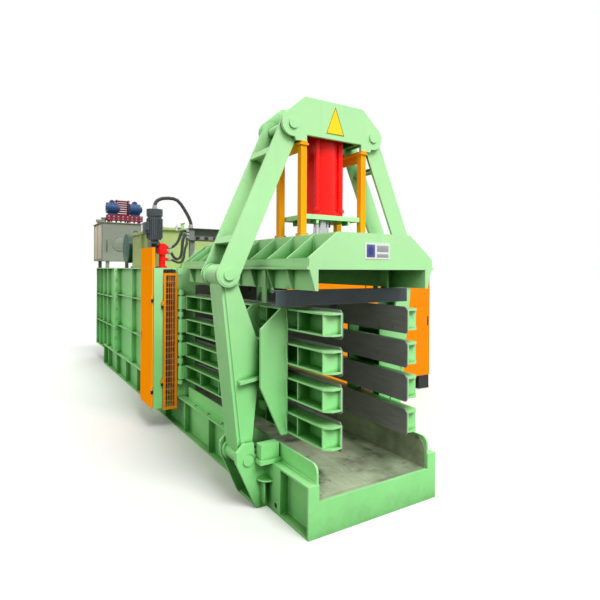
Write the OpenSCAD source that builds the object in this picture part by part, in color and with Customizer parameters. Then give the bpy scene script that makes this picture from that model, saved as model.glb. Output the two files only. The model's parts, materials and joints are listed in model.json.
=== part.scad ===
// Horizontal baling press with a three way squeeze head at the bale outlet.
// Millimetres, +Z up, +Y from the outlet to the rear, origin on the floor under the press cylinder.

/* [Channel] */
// clear width between the low side plates of the base
base_in = 1100; // [1000:10:1300]
// width over the base frame
base_w = 1284; // [1200:2:1500]
// length of the base frame
base_len = 7547; // [6000:10:9000]
// height of the base side frames
base_h = 379; // [300:1:450]
// height of the channel floor
floor_z = 257; // [200:1:300]
// height of the low side plates beside the bale
liner_h = 518; // [440:1:545]
// clear width of the bale channel in the body
chan_w = 850; // [750:10:900]
// height of the body top
body_h = 1927; // [1800:1:2100]
// rear end of the body from the outlet face
body_len = 8420; // [7800:10:9200]
// bolted joint of the two body parts
joint_y = 6340; // [6000:10:6800]

/* [Press head] */
// middle plane of the arms and links from the outlet face
axis_y = 790; // [780:1:800]
// half distance of the lower pins
low_x = 816; // [800:1:840]
// height of the lower pins
low_z = 404; // [400:1:420]
// half distance of the elbow pins
elbow_x = 986; // [960:1:1010]
// height of the elbow pins
elbow_z = 1875; // [1850:1:1900]
// half distance of the yoke pins
yoke_x = 430; // [420:1:440]
// height of the yoke pins
yoke_z = 3134; // [3110:1:3160]
// radius of the head pins
pin_r = 43; // [38:1:50]
// radius of the press cylinder barrel
barrel_r = 150; // [130:1:155]
// height of the platen top plate
platen_z = 2202; // [2180:1:2220]

/* [Side walls] */
// height of one finger
finger_h = 172; // [160:1:190]
// distance from finger to finger
finger_pitch = 279; // [270:1:290]
// top of the highest finger
finger_top = 1598; // [1585:1:1600]
// depth of a finger
finger_d = 150; // [140:1:160]
// toe in of the walls as built, in degrees
toe = 2; // [1.8:0.01:2.1]

/* [Tying station] */
// front face of the left guard from the outlet face
tie_y = 2892; // [2880:1:2920]
// reach of the left guard from the middle
tie_x = 940; // [900:5:980]
// reach of the needle housing to the right
house_x = 3500; // [3300:5:3600]
// front face of the needle housing
house_y = 2700; // [2690:1:2760]

/* [Power pack] */
// length of the oil tank
tank_len = 990; // [900:5:1000]
// height of the oil tank
tank_h = 765; // [600:5:800]

/* [Hidden] */
$fn = 48;
fit = 0.05;
seat = 0.3;
hb = base_w / 2;
hi = base_in / 2;
hc = chan_w / 2;
web_t = 16;
flange_t = 16;
rib_t = 12;
green = [0.52, 0.83, 0.50];
steel = [0.35, 0.36, 0.36];
orange = [1.0, 0.55, 0.05];
dark = [0.10, 0.10, 0.11];
// planes of the arm, link, ear and yoke plates, measured from the middle plane
ear_in = 148;
ear_t = 30;
link_in = 147;
link_t = 25;
arm_in = 110;
arm_t = 25;
yoke_in = 182;
yoke_t = 30;
elbow_r = 98;
link_hw = 91;
pin_gap = 2.6;
slot_y = 3110;
// heights of the top and the lowest wire, and of the rails that carry the needles
knot_z = finger_top + finger_pitch / 2 - 85;
low_knot_z = knot_z - 4 * finger_pitch;
rail_low = low_knot_z - 136.5;
rail_high = knot_z + 117.5;
hinge_x = 620;
hinge_y = 2840;
hinge_r = 20;
knuckle_r = 32;
plat_y0 = 32;
plat_y1 = 2720;
plat_hinge_y = 2860;
plat_hinge_z = 1990;
deck_z = 1940;
guide_z = 2352;
post_h = yoke_z - 134 - 30 - seat - platen_z;
ram_y = joint_y - 740;
hop_y = 4200;
ram_len = 700;
tank_y = body_len - tank_len - 10;
tank_z = body_h + 142;
tail = body_len - base_len;
pump_x = 130;

module placed() {
  translate([0, -axis_y, 0]) children();
}

module both() {
  children();
  mirror([1, 0, 0]) children();
}

module bx(x0, x1, y0, y1, z0, z1) {
  translate([x0, y0, z0]) cube([x1 - x0, y1 - y0, z1 - z0]);
}

// plate whose outline is given in X and Z
module plate_xz(y0, t) {
  translate([0, y0 + t, 0]) rotate([90, 0, 0]) linear_extrude(t) children();
}

// plate whose outline is given in Y and Z
module plate_yz(x0, t) {
  translate([x0, 0, 0]) rotate([90, 0, 90]) linear_extrude(t) children();
}

module rod_y(x, z, y0, y1, r) {
  translate([x, y1, z]) rotate([90, 0, 0]) cylinder(h = y1 - y0, r = r);
}

module rod_x(y, z, x0, x1, r) {
  translate([x0, y, z]) rotate([0, 90, 0]) cylinder(h = x1 - x0, r = r);
}

module rod_z(x, y, z0, z1, r) {
  translate([x, y, z0]) cylinder(h = z1 - z0, r = r);
}

// base frame

module base_side() {
  // low side plate with a rounded front corner
  plate_yz(-hi - web_t, web_t) difference() {
    polygon([[10, 0], [2700, 0], [2700, liner_h], [10, liner_h]]);
    difference() {
      translate([0, liner_h - 60]) square([70, 70]);
      translate([70, liner_h - 60]) circle(r = 60);
    }
  }
  bx(-hi - web_t, -hi, 2690, base_len, 0, base_h);
  bx(-hb, -hi - 1, 10, base_len, base_h - flange_t, base_h);
  bx(-hb, -hi - 1, 10, base_len, 0, flange_t);
  for (y = [400 : 745 : base_len - 100])
    bx(-hb + 3, -hi - 1, y, y + rib_t, flange_t - 1, base_h - flange_t + 1);
}

module base_frame() {
  color(green) placed() {
    difference() {
      bx(-hb, hb, 0, 20, 0, base_h);
      bx(-hi, hi, -1, 21, floor_z, base_h + 1);
    }
    both() base_side();
    bx(-hb, hb, base_len - 20, base_len, 0, floor_z - 21);
    both() bx(-hb, -hi, base_len - 20, base_len, 0, base_h);
    for (y = [400 : 745 : base_len - 100])
      bx(-hi - 1, hi + 1, y, y + rib_t, 0, floor_z - 20);
    bx(-hi - 1, hi + 1, axis_y - 160, axis_y + 160, 0, flange_t);
    // closing plate behind the pin bracket, with a drain hole
    both() difference() {
      bx(-hb, -hb + 10, 400, 1157, flange_t - 1, base_h - flange_t + 1);
      rod_x(470, 60, -hb - 1, -hb + 11, 22);
    }
  }
}

module channel_floor() {
  color(steel) placed() {
    bx(-hi + seat, hi - seat, 20 + seat, base_len - 30, floor_z - 20 + seat, floor_z);
    // bare skins on the low side plates
    both() plate_yz(-hi + seat, 8 - seat) polygon([
      [30, floor_z - 1], [2680, floor_z - 1], [2680, liner_h - 10], [110, liner_h - 10],
      [60, liner_h - 40], [30, liner_h - 100]]);
  }
}

// bracket of one lower pin: two ears, gussets and the stop block

module ear(y0) {
  difference() {
    union() {
      plate_xz(y0, ear_t) polygon([
        [-hb - seat, flange_t], [-hb - 102, flange_t], [-low_x - 96, low_z - 18], [-low_x - 96, low_z + 70],
        [-low_x - 34, low_z + 132], [-low_x + 52, low_z + 128], [-low_x + 58, low_z + 40],
        [-hb - seat, low_z - 10]]);
    }
    rod_y(-low_x, low_z, y0 - 1, y0 + ear_t + 1, pin_r + fit);
  }
}

module bracket() {
  ear(axis_y - ear_in - ear_t);
  ear(axis_y + ear_in);
  // back plate on the base side and the foot
  bx(-hb - 20, -hb - seat, axis_y - ear_in - 1, axis_y + ear_in + 1, flange_t, low_z - 90);
  bx(-hb - 90, -hb - seat, axis_y - ear_in - ear_t, axis_y + ear_in + ear_t, 2, flange_t + 12);
  // half moon gusset with a rib below it, in front of the front ear
  intersection() {
    bx(-hb - 95, -hb - seat, axis_y - ear_in - ear_t - 96, axis_y - ear_in - ear_t + 1, 232, 244);
    rod_z(-hb, axis_y - ear_in - ear_t, 231, 245, 96);
  }
  bx(-hb - 60, -hb - 48, axis_y - ear_in - ear_t - 60, axis_y - ear_in - ear_t + 1, 60, 233);
  // stop block on the base flange
  bx(-hb - 98, -hi - 30, 528, axis_y - ear_in - ear_t + 1, low_z + 8, low_z + 126);
  bx(-hb - 112, -hi - web_t - seat, 512, axis_y - ear_in - ear_t + 1, base_h + seat, low_z + 9);
}

module pin_brackets() {
  color(green) placed() both() {
    bracket();
    rod_y(-low_x, low_z, axis_y - ear_in - ear_t - 14, axis_y + ear_in + ear_t + 14, pin_r);
  }
}

// lever arm between the ears and the elbow

arm_a = atan((elbow_x - low_x) / (elbow_z - low_z));
arm_l = norm([elbow_x - low_x, elbow_z - low_z]);

module arm_outline() {
  polygon([
    [-low_x - 25, low_z], [-elbow_x - 25, elbow_z], [-elbow_x + 86, elbow_z - 50],
    [-low_x + 109, 1321], [-low_x + 109, 1037], [-low_x + 60, 545], [-low_x + 60, low_z]]);
}

module arm() {
  difference() {
    union() {
      for (y0 = [axis_y - arm_in - arm_t, axis_y + arm_in]) {
        plate_xz(y0, arm_t) arm_outline();
        rod_y(-low_x, low_z, y0, y0 + arm_t, 88);
        rod_y(-elbow_x, elbow_z, y0, y0 + arm_t, elbow_r - 2);
      }
      // outer flange
      translate([-low_x, 0, low_z]) rotate([0, -arm_a, 0])
        bx(-50, -24, axis_y - arm_in - 8, axis_y + arm_in + 8, 60, arm_l + 20);
      // spacer rings at the pins
      rod_y(-low_x, low_z, axis_y - ear_in + 2, axis_y + ear_in - 2, 68);
      rod_y(-elbow_x, elbow_z, axis_y - link_in + seat, axis_y + link_in - seat, 62);
      rod_y(-elbow_x, elbow_z, axis_y - arm_in - 8, axis_y + arm_in + 8, 84);
      // sloping pusher plate across both sides
      translate([-low_x + 5, 0, 1020]) rotate([0, -8, 0]) {
        bx(-80, 98, axis_y - arm_in - arm_t - 55, axis_y - arm_in - arm_t + 1, 0, 26);
        bx(-80, 98, axis_y + arm_in + arm_t - 1, axis_y + arm_in + arm_t + 55, 0, 26);
        bx(-80, 98, axis_y - arm_in - 1, axis_y + arm_in + 1, 0, 26);
      }
    }
    rod_y(-low_x, low_z, axis_y - 300, axis_y + 300, pin_r + fit);
    rod_y(-elbow_x, elbow_z, axis_y - 300, axis_y + 300, pin_r + fit);
  }
}

module elbow_pin() {
  rod_y(-elbow_x, elbow_z, axis_y - link_in - link_t - 20, axis_y + link_in + link_t + 20, pin_r);
}

module arm_left() {
  color(green) placed() {
    arm();
    elbow_pin();
  }
}

module arm_right() {
  color(green) placed() mirror([1, 0, 0]) {
    arm();
    elbow_pin();
  }
}

// link from the elbow up to the yoke

link_dx = elbow_x - yoke_x;
link_dz = yoke_z - elbow_z;
link_l = norm([link_dx, link_dz]);
link_a = atan(link_dx / link_dz);

module in_link() {
  translate([-elbow_x, 0, elbow_z]) rotate([0, link_a, 0]) children();
}

module link() {
  difference() {
    union() {
      for (side = [-1, 1]) {
        y0 = side < 0 ? axis_y - link_in - link_t : axis_y + link_in;
        in_link() {
          plate_xz(y0, link_t) polygon([
            [-link_hw, 0], [-link_hw, link_l], [link_hw, link_l], [link_hw, 0]]);
          rod_y(0, 0, y0, y0 + link_t, elbow_r);
          rod_y(0, link_l, y0, y0 + link_t, link_hw + 6);
        }
        // raised ring round the elbow pin
        ring_y = side < 0 ? y0 - 4 : y0 + link_t - 1;
        rod_y(-elbow_x, elbow_z, ring_y, ring_y + 5, elbow_r - 12);
      }
      in_link() {
        bx(-link_hw, -link_hw + 24, axis_y - link_in - 1, axis_y + link_in + 1, 240, 300);
        bx(-link_hw, -link_hw + 24, axis_y - link_in - 1, axis_y + link_in + 1, link_l - 330, link_l - 270);
        bx(-link_hw + 23, 66, axis_y - link_in - 1, axis_y + link_in + 1, 262, 278);
        bx(-link_hw + 23, 66, axis_y - link_in - 1, axis_y + link_in + 1, link_l - 308, link_l - 292);
      }
    }
    rod_y(-elbow_x, elbow_z, axis_y - 300, axis_y + 300, pin_r + fit);
    rod_y(-yoke_x, yoke_z, axis_y - 300, axis_y + 300, pin_r + pin_gap);
  }
}

module link_left() {
  color(green) placed() link();
}

module link_right() {
  color(green) placed() mirror([1, 0, 0]) link();
}

// yoke on top, with its pins

yoke_top = yoke_z + 243;
yoke_leg = yoke_z - 134;

module yoke_outline() {
  difference() {
    union() {
      polygon([
        [-311, yoke_top], [311, yoke_top], [yoke_x + 76, yoke_z + 76], [400, yoke_leg],
        [294, yoke_leg], [-294, yoke_leg], [-400, yoke_leg], [-yoke_x - 76, yoke_z + 76]]);
      for (s = [-1, 1]) translate([s * yoke_x, yoke_z]) circle(r = 106);
    }
    translate([-294, yoke_leg - 1]) square([588, 58]);
    for (s = [-1, 1]) translate([s * yoke_x, yoke_z]) circle(r = pin_r + fit);
  }
}

module yoke_frame() {
  color(green) placed() {
    plate_xz(axis_y - yoke_in - yoke_t, yoke_t) yoke_outline();
    plate_xz(axis_y + yoke_in, yoke_t) yoke_outline();
    // head plate over the barrel and cross plates between the two faces
    bx(-294, 294, axis_y - yoke_in - 1, axis_y + yoke_in + 1, yoke_leg + 268, yoke_leg + 308);
    both() bx(-294, -268, axis_y - yoke_in - 1, axis_y + yoke_in + 1, yoke_leg + 60, yoke_leg + 269);
    bx(-270, 270, axis_y - 10, axis_y + 10, yoke_leg + 307, yoke_top - 8);
  }
}

module yoke_pins() {
  color([0.55, 0.83, 0.55]) placed() both() {
    rod_y(-yoke_x, yoke_z, axis_y - yoke_in - yoke_t - 14, axis_y + yoke_in + yoke_t + 14, pin_r);
  }
}

barrel_z0 = guide_z + 40 + seat;
barrel_z1 = yoke_leg + 268 - seat;

module press_barrel() {
  color([0.85, 0.08, 0.08]) placed() difference() {
    union() {
      rod_z(0, axis_y, barrel_z0, barrel_z1, barrel_r);
      rod_z(0, axis_y, barrel_z0, barrel_z0 + 40, barrel_r + 14);
      rod_z(0, axis_y, barrel_z1 - 60, barrel_z1, barrel_r + 14);
      // tie bars beside the barrel, joined by their end blocks
      for (sx = [-1, 1], sy = [-1, 1]) {
        rod_z(sx * 128, axis_y + sy * 118, barrel_z0, barrel_z1, 24);
        translate([sx * 100, axis_y + sy * 90, barrel_z0 + 20]) cube([90, 90, 40], center = true);
        translate([sx * 100, axis_y + sy * 90, barrel_z1 - 30]) cube([90, 90, 60], center = true);
      }
    }
    rod_z(0, axis_y, barrel_z0 + 70, barrel_z1 - 70, barrel_r - 22);
    rod_z(0, axis_y, barrel_z0 - 1, barrel_z0 + 80, 70 + fit);
  }
}

module guide_plate() {
  color(green) placed() difference() {
    union() {
      bx(-288, 288, axis_y - 200, axis_y + 200, guide_z, guide_z + 40);
      for (sx = [-1, 1], sy = [-1, 1])
        bx(sx * 170 - 12, sx * 170 + 12, axis_y + sy * 150 - 45, axis_y + sy * 150 + 45, guide_z - 34,
          guide_z + 1);
    }
    rod_z(0, axis_y, guide_z - 40, guide_z + 41, 78);
  }
}

module press_rod() {
  color([0.8, 0.8, 0.82]) placed() {
    rod_z(0, axis_y, platen_z + 43, barrel_z0 + 420, 70);
    rod_z(0, axis_y, barrel_z0 + 300, barrel_z0 + 380, barrel_r - 22 - fit);
    // domed foot on the platen seat
    intersection() {
      rod_z(0, axis_y, platen_z + 20 + seat, platen_z + 44, 82);
      translate([0, axis_y, platen_z + 20 + seat + 300]) sphere(r = 300, $fn = 96);
    }
  }
}

// top platen, hinged at the rear of the channel

module rib_outline() {
  polygon([
    [-366, platen_z], [366, platen_z], [hb - 17, 2005], [hb - 17, deck_z], [17 - hb, deck_z],
    [17 - hb, 2005]]);
}

module skirt_leg() {
  polygon([[-hb + 17, deck_z + 1], [-571, 1764], [-545, 1764], [-545, deck_z + 1]]);
}

module platen_frame() {
  color(green) placed() {
    // front plate with the wide mouth below
    plate_xz(plat_y0, 25) {
      rib_outline();
      skirt_leg();
      mirror([1, 0]) skirt_leg();
    }
    bx(-366, 366, plat_y0, plat_y1, platen_z - 20, platen_z);
    bx(-hb, hb, plat_y0, plat_y1, deck_z - 20, deck_z);
    for (y = [plat_y0 + 312 : 312 : plat_y1 - 100]) {
      plate_xz(y, rib_t) difference() {
        rib_outline();
        translate([-250, deck_z + 50]) square([500, 120]);
      }
      both() plate_xz(y, rib_t) skirt_leg();
    }
    plate_xz(plat_y1 - 16, 16) difference() {
      rib_outline();
      translate([-250, deck_z + 50]) square([500, 120]);
    }
    both() {
      // long side plates above and the sloping skirt below the deck
      bx(-hb + 17, -hb + 29, plat_y0, plat_y1, deck_z - 1, 2003);
      plate_xz(plat_y0, plat_y1 - plat_y0) polygon([
        [-560, deck_z - 19], [-545, deck_z - 19], [-545, 1764], [-556, 1764]]);
      bx(-380, -366, plat_y0 + 20, plat_y1, deck_z - 1, platen_z - 15);
      // hanging guide strips
      bx(-hb + 22, -hb + 37, 700, 764, 1640, deck_z - 19);
      // hinge lugs
      for (x = [-500, -440])
        plate_yz(x, 22) difference() {
          union() {
            polygon([
              [plat_y1 - 1, deck_z - 20], [plat_y1 - 1, platen_z - 60], [plat_hinge_y, plat_hinge_z + 46],
              [plat_hinge_y, plat_hinge_z - 46]]);
            translate([plat_hinge_y, plat_hinge_z]) circle(r = 46);
          }
          translate([plat_hinge_y, plat_hinge_z]) circle(r = 25 + fit);
        }
    }
    // seat of the piston rod
    rod_z(0, axis_y, platen_z - 1, platen_z + 20, 130);
    both() bx(-470, -446, 395, 478, 1755 + seat, deck_z - 19);
  }
}

module press_beam() {
  color([0.42, 0.44, 0.43]) placed() difference() {
    bx(-690, 690, 392, 482, 1632, 1755);
    bx(-691, 691, 402, 483, 1644, 1743);
  }
}

module guide_posts() {
  color(orange) placed() both() {
    for (y = [axis_y - 182, axis_y + 182]) {
      bx(-350, -294, y - 28, y + 28, platen_z + 10, platen_z + post_h);
      bx(-362, -282, y - 40, y + 40, platen_z + seat, platen_z + 14);
      bx(-364, -282, y - 40, y + 40, platen_z + post_h - 1, platen_z + post_h + 14);
    }
    bx(-350, -294, axis_y - 222, axis_y + 222, platen_z + post_h + 13, platen_z + post_h + 30);
    bx(-350, -342, axis_y - 160, axis_y + 160, platen_z + post_h - 60, platen_z + post_h + 14);
  }
}

// side walls: four channel fingers on two upright strongbacks

xl = -hc;
xw = xl - 20;
xf = xl - finger_d;

module at_toe() {
  translate([-hinge_x, hinge_y, 0]) rotate([0, 0, toe]) translate([hinge_x, -hinge_y, 0]) children();
}

module flange_plan() {
  polygon([
    [xw + 10, 40], [xw + 6, 14], [xw - 14, 10], [xf + 52, 10], [xf, 62], [xf, 2795], [xw + 10, 2795]]);
}

module finger(z1) {
  z0 = z1 - finger_h;
  bx(xw, xl - 10, 12, 2795, z0, z1);
  translate([0, 0, z1 - 14]) linear_extrude(14) flange_plan();
  translate([0, 0, z0]) linear_extrude(14) flange_plan();
  // set back end plate
  translate([0, 0, z0 + 13]) linear_extrude(finger_h - 26)
    polygon([[xw + 1, 44], [xf + 4, 66], [xf + 4, 78], [xw + 1, 56]]);
  for (y = [400 : 490 : 2700])
    bx(xf + 8, xw + 1, y, y + 10, z0 + 13, z1 - 13);
  bx(xf, xw + 1, 2781, 2795, z0 + 1, z1 - 1);
  // knuckle at the hinge
  difference() {
    union() {
      bx(xf + 12, xw - 40, 2790, hinge_y, z0 + 8, z1 - 8);
      translate([-hinge_x, hinge_y, z0 + 8]) cylinder(h = finger_h - 16, r = knuckle_r);
      bx(-hinge_x, xw - 40, hinge_y - 30, hinge_y + 24, z0 + 8, z1 - 8);
    }
    rod_z(-hinge_x, hinge_y, z0, z1, hinge_r + fit);
  }
}

wall_z0 = finger_top - 3 * finger_pitch - finger_h;

module strongback(y) {
  plate_xz(y, 25) polygon([
    [xf + 1, wall_z0 - 12], [xf - 58, wall_z0 - 12], [-825, 985], [-825, 1445], [xf - 62, finger_top + 8],
    [xf + 1, finger_top + 8]]);
}

module side_wall() {
  at_toe() {
    for (k = [0 : 3]) finger(finger_top - k * finger_pitch);
    strongback(axis_y - 250);
    strongback(axis_y + 225);
    // thrust box that the arm bears on
    difference() {
      bx(-773, -701, axis_y - 226, axis_y + 226, 985, 1345);
      bx(-761, -700, axis_y - 215, axis_y + 215, 1001, 1329);
    }
    bx(-762, -703, axis_y - 6, axis_y + 6, 1000, 1330);
  }
}

module side_wall_left() {
  color(green) placed() side_wall();
}

module side_wall_right() {
  color(green) placed() mirror([1, 0, 0]) side_wall();
}

module finger_liner() {
  at_toe() for (k = [0 : 3]) {
    z1 = finger_top - k * finger_pitch;
    plate_yz(xl - 10, 10) polygon([
      [40, z1 + 20], [2795, z1 + 20], [2795, z1 - finger_h - 28], [30, z1 - finger_h - 28],
      [12, z1 - finger_h - 10], [12, z1 - 10]]);
  }
}

module finger_liners_left() {
  color(steel) placed() finger_liner();
}

module finger_liners_right() {
  color(steel) placed() mirror([1, 0, 0]) finger_liner();
}

module hinge_pins() {
  color(steel) placed() both() {
    rod_x(plat_hinge_y, plat_hinge_z, -512, -406, 25);
    rod_z(-hinge_x, hinge_y, wall_z0 - 60, finger_top + 62, hinge_r);
    rod_z(-hinge_x, hinge_y, finger_top + 53, finger_top + 70, hinge_r + 10);
  }
}

// body of the press

module wall_lug(z0, z1) {
  difference() {
    union() {
      rod_z(-hinge_x, hinge_y, z0, z1, knuckle_r);
      bx(-hinge_x - 30, -hinge_x + 30, hinge_y, 2886, z0, z1);
    }
    rod_z(-hinge_x, hinge_y, z0 - 1, z1 + 1, hinge_r + fit);
  }
}

module body_side(y0, y1, z0, ribs, s1, s2) {
  bx(-hi - web_t, -hi, y0, y1, z0, body_h);
  bx(-hb, -hi - 1, y0, y1, body_h - flange_t, body_h);
  bx(-hb, -hi - 1, y0, y1, z0, z0 + rib_t);
  bx(-hb, -hi - 1, y0, y1, s1, s1 + rib_t);
  bx(-hb, -hi - 1, y0, y1, s2, s2 + rib_t);
  for (y = ribs) bx(-hb + 2, -hi - 1, y, y + rib_t, z0 + 1, body_h - 1);
}

module needle_window() {
  bx(-hb - 1, -hi + 1, slot_y - 110, slot_y + 110, low_knot_z - 66.5, knot_z + 77.5);
}

module flange_holes() {
  for (z = [480 : 175 : body_h - 47]) rod_y(-668, z, joint_y - 40, joint_y + 40, 9);
}

module body_front() {
  color(green) placed() difference() {
    union() {
      both() {
        difference() {
          body_side(2880, joint_y, base_h + seat, [3540, 4618, 5235], 1440, 885);
          needle_window();
        }
        bx(-690, -hi - 1, joint_y - 20, joint_y - seat / 2, base_h + 30, body_h);
        // hinge frame at the channel mouth
        bx(-hb - 8, -hc - 2, 2880, 2900, base_h + seat, body_h);
        for (k = [0 : 2]) {
          zc = finger_top - k * finger_pitch - finger_h - (finger_pitch - finger_h) / 2;
          wall_lug(zc - 30, zc + 30);
        }
        wall_lug(finger_top + 8, finger_top + 52);
        wall_lug(wall_z0 - 52, wall_z0 - 8);
        // lugs of the platen hinge
        for (x = [-477, -417])
          plate_yz(x, 20 - seat) difference() {
            union() {
              polygon([
                [2884, body_h - 8], [3010, body_h - 8], [plat_hinge_y + 20, plat_hinge_z + 38],
                [plat_hinge_y, plat_hinge_z - 42]]);
              translate([plat_hinge_y, plat_hinge_z]) circle(r = 42);
            }
            translate([plat_hinge_y, plat_hinge_z]) circle(r = 25 + fit);
          }
      }
      bx(-hb, hb, 2880, joint_y - seat / 2, body_h - flange_t, body_h);
      bx(-hc - 3, hc + 3, 2880, 2900, 1720, body_h - 1);
    }
    bx(-420, 420, hop_y + 50, hop_y + 1350, body_h - flange_t - 1, body_h + 1);
    both() flange_holes();
  }
}

module body_rear() {
  color(green) placed() {
    both() {
      body_side(joint_y + seat / 2, base_len + 2, base_h + seat, [6483, 7242], 1372, 824);
      body_side(base_len + seat, body_len, 306, [base_len + 0.15 * tail, base_len + 0.58 * tail], 1372, 824);
      difference() {
        bx(-690, -hi - 1, joint_y + seat / 2, joint_y + 20, base_h + 30, body_h);
        flange_holes();
      }
    }
    bx(-hb, hb, joint_y + seat / 2, body_len, body_h - flange_t, body_h);
    bx(-hb, hb, base_len + 4, body_len, 306, 322);
    difference() {
      bx(-hb, hb, body_len - 30, body_len, 306, body_h);
      rod_y(0, 1080, body_len - 31, body_len + 1, 158);
    }
  }
}

module joint_bolts() {
  color([0.45, 0.5, 0.45]) placed() both() {
    for (z = [480 : 175 : body_h - 47]) {
      rod_y(-668, z, joint_y - 20 - 12, joint_y + 20 + 12, 8);
      rod_y(-668, z, joint_y - 20 - 13, joint_y - 20, 15, $fn = 6);
      rod_y(-668, z, joint_y + 20, joint_y + 20 + 13, 15, $fn = 6);
    }
  }
}

// one piece of the channel lining, with its ribs towards the side plate
module lining(y0, y1, ribs) {
  bx(-hc - 16, -hc, y0, y1, floor_z + seat, 1880);
  for (y = ribs) bx(-hi + seat, -hc - 15, y, y + 12, floor_z + seat, 1880);
}

module channel_liners() {
  color(steel) placed() both() {
    lining(2905, slot_y - 40, [2905]);
    lining(slot_y + 40, joint_y - 40, [3300 : 745 : joint_y - 55]);
    // short pieces between the wire slots
    for (k = [-1 : 4]) {
      z0 = k == 4 ? floor_z + seat : knot_z - (k + 1) * finger_pitch + 34;
      z1 = k == -1 ? 1880 : knot_z - k * finger_pitch - 34;
      bx(-hc - 16, -hc, slot_y - 40 + seat, slot_y + 40 - seat, z0, z1);
    }
  }
}

// main ram and its cylinder

module ram() {
  color(steel) placed() {
    bx(-hc + 5, hc - 5, ram_y, ram_y + 30, floor_z + seat, 1650);
    bx(-hc + 5, hc - 5, ram_y + ram_len - 25, ram_y + ram_len, floor_z + seat, 1650);
    bx(-hc + 5, hc - 5, ram_y, ram_y + ram_len, 1630, 1650);
    bx(-hc + 5, hc - 5, ram_y, ram_y + ram_len, floor_z + seat, floor_z + 24);
    both() bx(-hc + 5, -hc + 25, ram_y, ram_y + ram_len, floor_z + seat, 1650);
    for (z = [690, 1150]) bx(-hc + 6, hc - 6, ram_y + 1, ram_y + ram_len - 1, z, z + 16);
    both() bx(-170, -154, ram_y + 1, ram_y + ram_len - 1, 600, 1500);
    // guide shoes
    both() for (y = [ram_y + 40, ram_y + ram_len - 160])
      bx(-hc + seat, -hc + 6, y, y + 120, 500, 620);
  }
}

module ram_rod() {
  color([0.8, 0.8, 0.82]) placed() {
    rod_y(0, 1080, ram_y + ram_len, ram_y + ram_len + 40, 150);
    rod_y(0, 1080, ram_y + ram_len + 39, body_len - 120, 80);
    rod_y(0, 1080, body_len - 200, body_len - 120, 134 - fit);
  }
}

module ram_cylinder() {
  color([0.85, 0.08, 0.08]) placed() difference() {
    union() {
      rod_y(0, 1080, joint_y + 80, body_len + 40, 156);
      rod_y(0, 1080, joint_y + 80, joint_y + 160, 175);
      bx(-220, 220, body_len - 60, body_len - 30 - seat, 860, 1300);
      bx(-160, 160, joint_y + 360, joint_y + 420, floor_z + seat, 1000);
    }
    rod_y(0, 1080, joint_y + 160, body_len + 10, 134);
    rod_y(0, 1080, joint_y + 79, joint_y + 161, 80 + fit);
  }
}

// left side of the tying station

post_x0 = -tie_x + 12;
post_x1 = -822;

module tying_frame() {
  color(green) placed() {
    bx(post_x0, post_x1, tie_y + 8, tie_y + 98, 258, body_h);
    bx(post_x0, post_x0 + 60, tie_y + 470, tie_y + 540, 258, body_h);
    // bottom and top shelf
    for (z = [258, body_h - 18])
      bx(post_x0, -hb - seat, tie_y + 8 + seat, tie_y + 540, z, z + 18);
    bx(-hb - 24, -hb - seat, tie_y + 8 + seat, tie_y + 60, 258, body_h);
    bx(-hb - 24, -hb - seat, tie_y + 500, tie_y + 540, 258, body_h);
  }
}

module twister_gearbox() {
  color(dark) placed() {
    difference() {
      bx(-800, -700, slot_y - 50, slot_y + 110, low_knot_z - 56.5, knot_z + 82.5);
      bx(-812, -788, slot_y - 30, slot_y + 90, low_knot_z - 36.5, knot_z + 62.5);
      for (k = [0 : 4]) rod_x(slot_y, knot_z - k * finger_pitch, -790, -699, 18 + fit);
    }
    // foot on the bottom shelf
    bx(-784, -716, slot_y - 30, slot_y + 90, 276 + seat, low_knot_z - 55.5);
    bx(-800, -700, slot_y - 50, slot_y + 110, 276 + seat, 292);
  }
}

// one turning hook that knots a wire
module hook(k) {
  z = knot_z - k * finger_pitch;
  color([0.7, 0.7, 0.72]) placed() difference() {
    union() {
      rod_x(slot_y, z, -786, -672, 18);
      rod_x(slot_y, z, -699 + seat, -690, 26);
    }
    bx(-684, -671, slot_y - 4, slot_y + 4, z - 20, z + 20);
  }
}

module twister_hook_1() {
  hook(0);
}

module twister_hook_2() {
  hook(1);
}

module twister_hook_3() {
  hook(2);
}

module twister_hook_4() {
  hook(3);
}

module twister_hook_5() {
  hook(4);
}

// hinged guards

mesh_x0 = post_x1 + 4;
mesh_x1 = -hb - 12;

module mesh_guard() {
  color(orange) placed() {
    difference() {
      bx(mesh_x0, mesh_x1, tie_y - 22, tie_y + 4, 238, 1866);
      bx(mesh_x0 + 26, mesh_x1 - 26, tie_y - 23, tie_y + 5, 266, 1838);
    }
    for (i = [1 : 3]) {
      x = mesh_x0 + 26 + i * (mesh_x1 - mesh_x0 - 52) / 4;
      bx(x - 2.5, x + 2.5, tie_y - 14, tie_y - 9, 265, 1839);
    }
    for (i = [1 : 21]) {
      z = 266 + i * 1572 / 22;
      bx(mesh_x0 + 25, mesh_x1 - 25, tie_y - 9, tie_y - 4, z - 2.5, z + 2.5);
    }
    for (z = [560, 1480]) {
      rod_z(post_x1 - 12, tie_y - 12, z, z + 50, 10);
      bx(post_x1 - 12, mesh_x0 + 1, tie_y - 20, tie_y - 12, z, z + 50);
    }
  }
}

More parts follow.
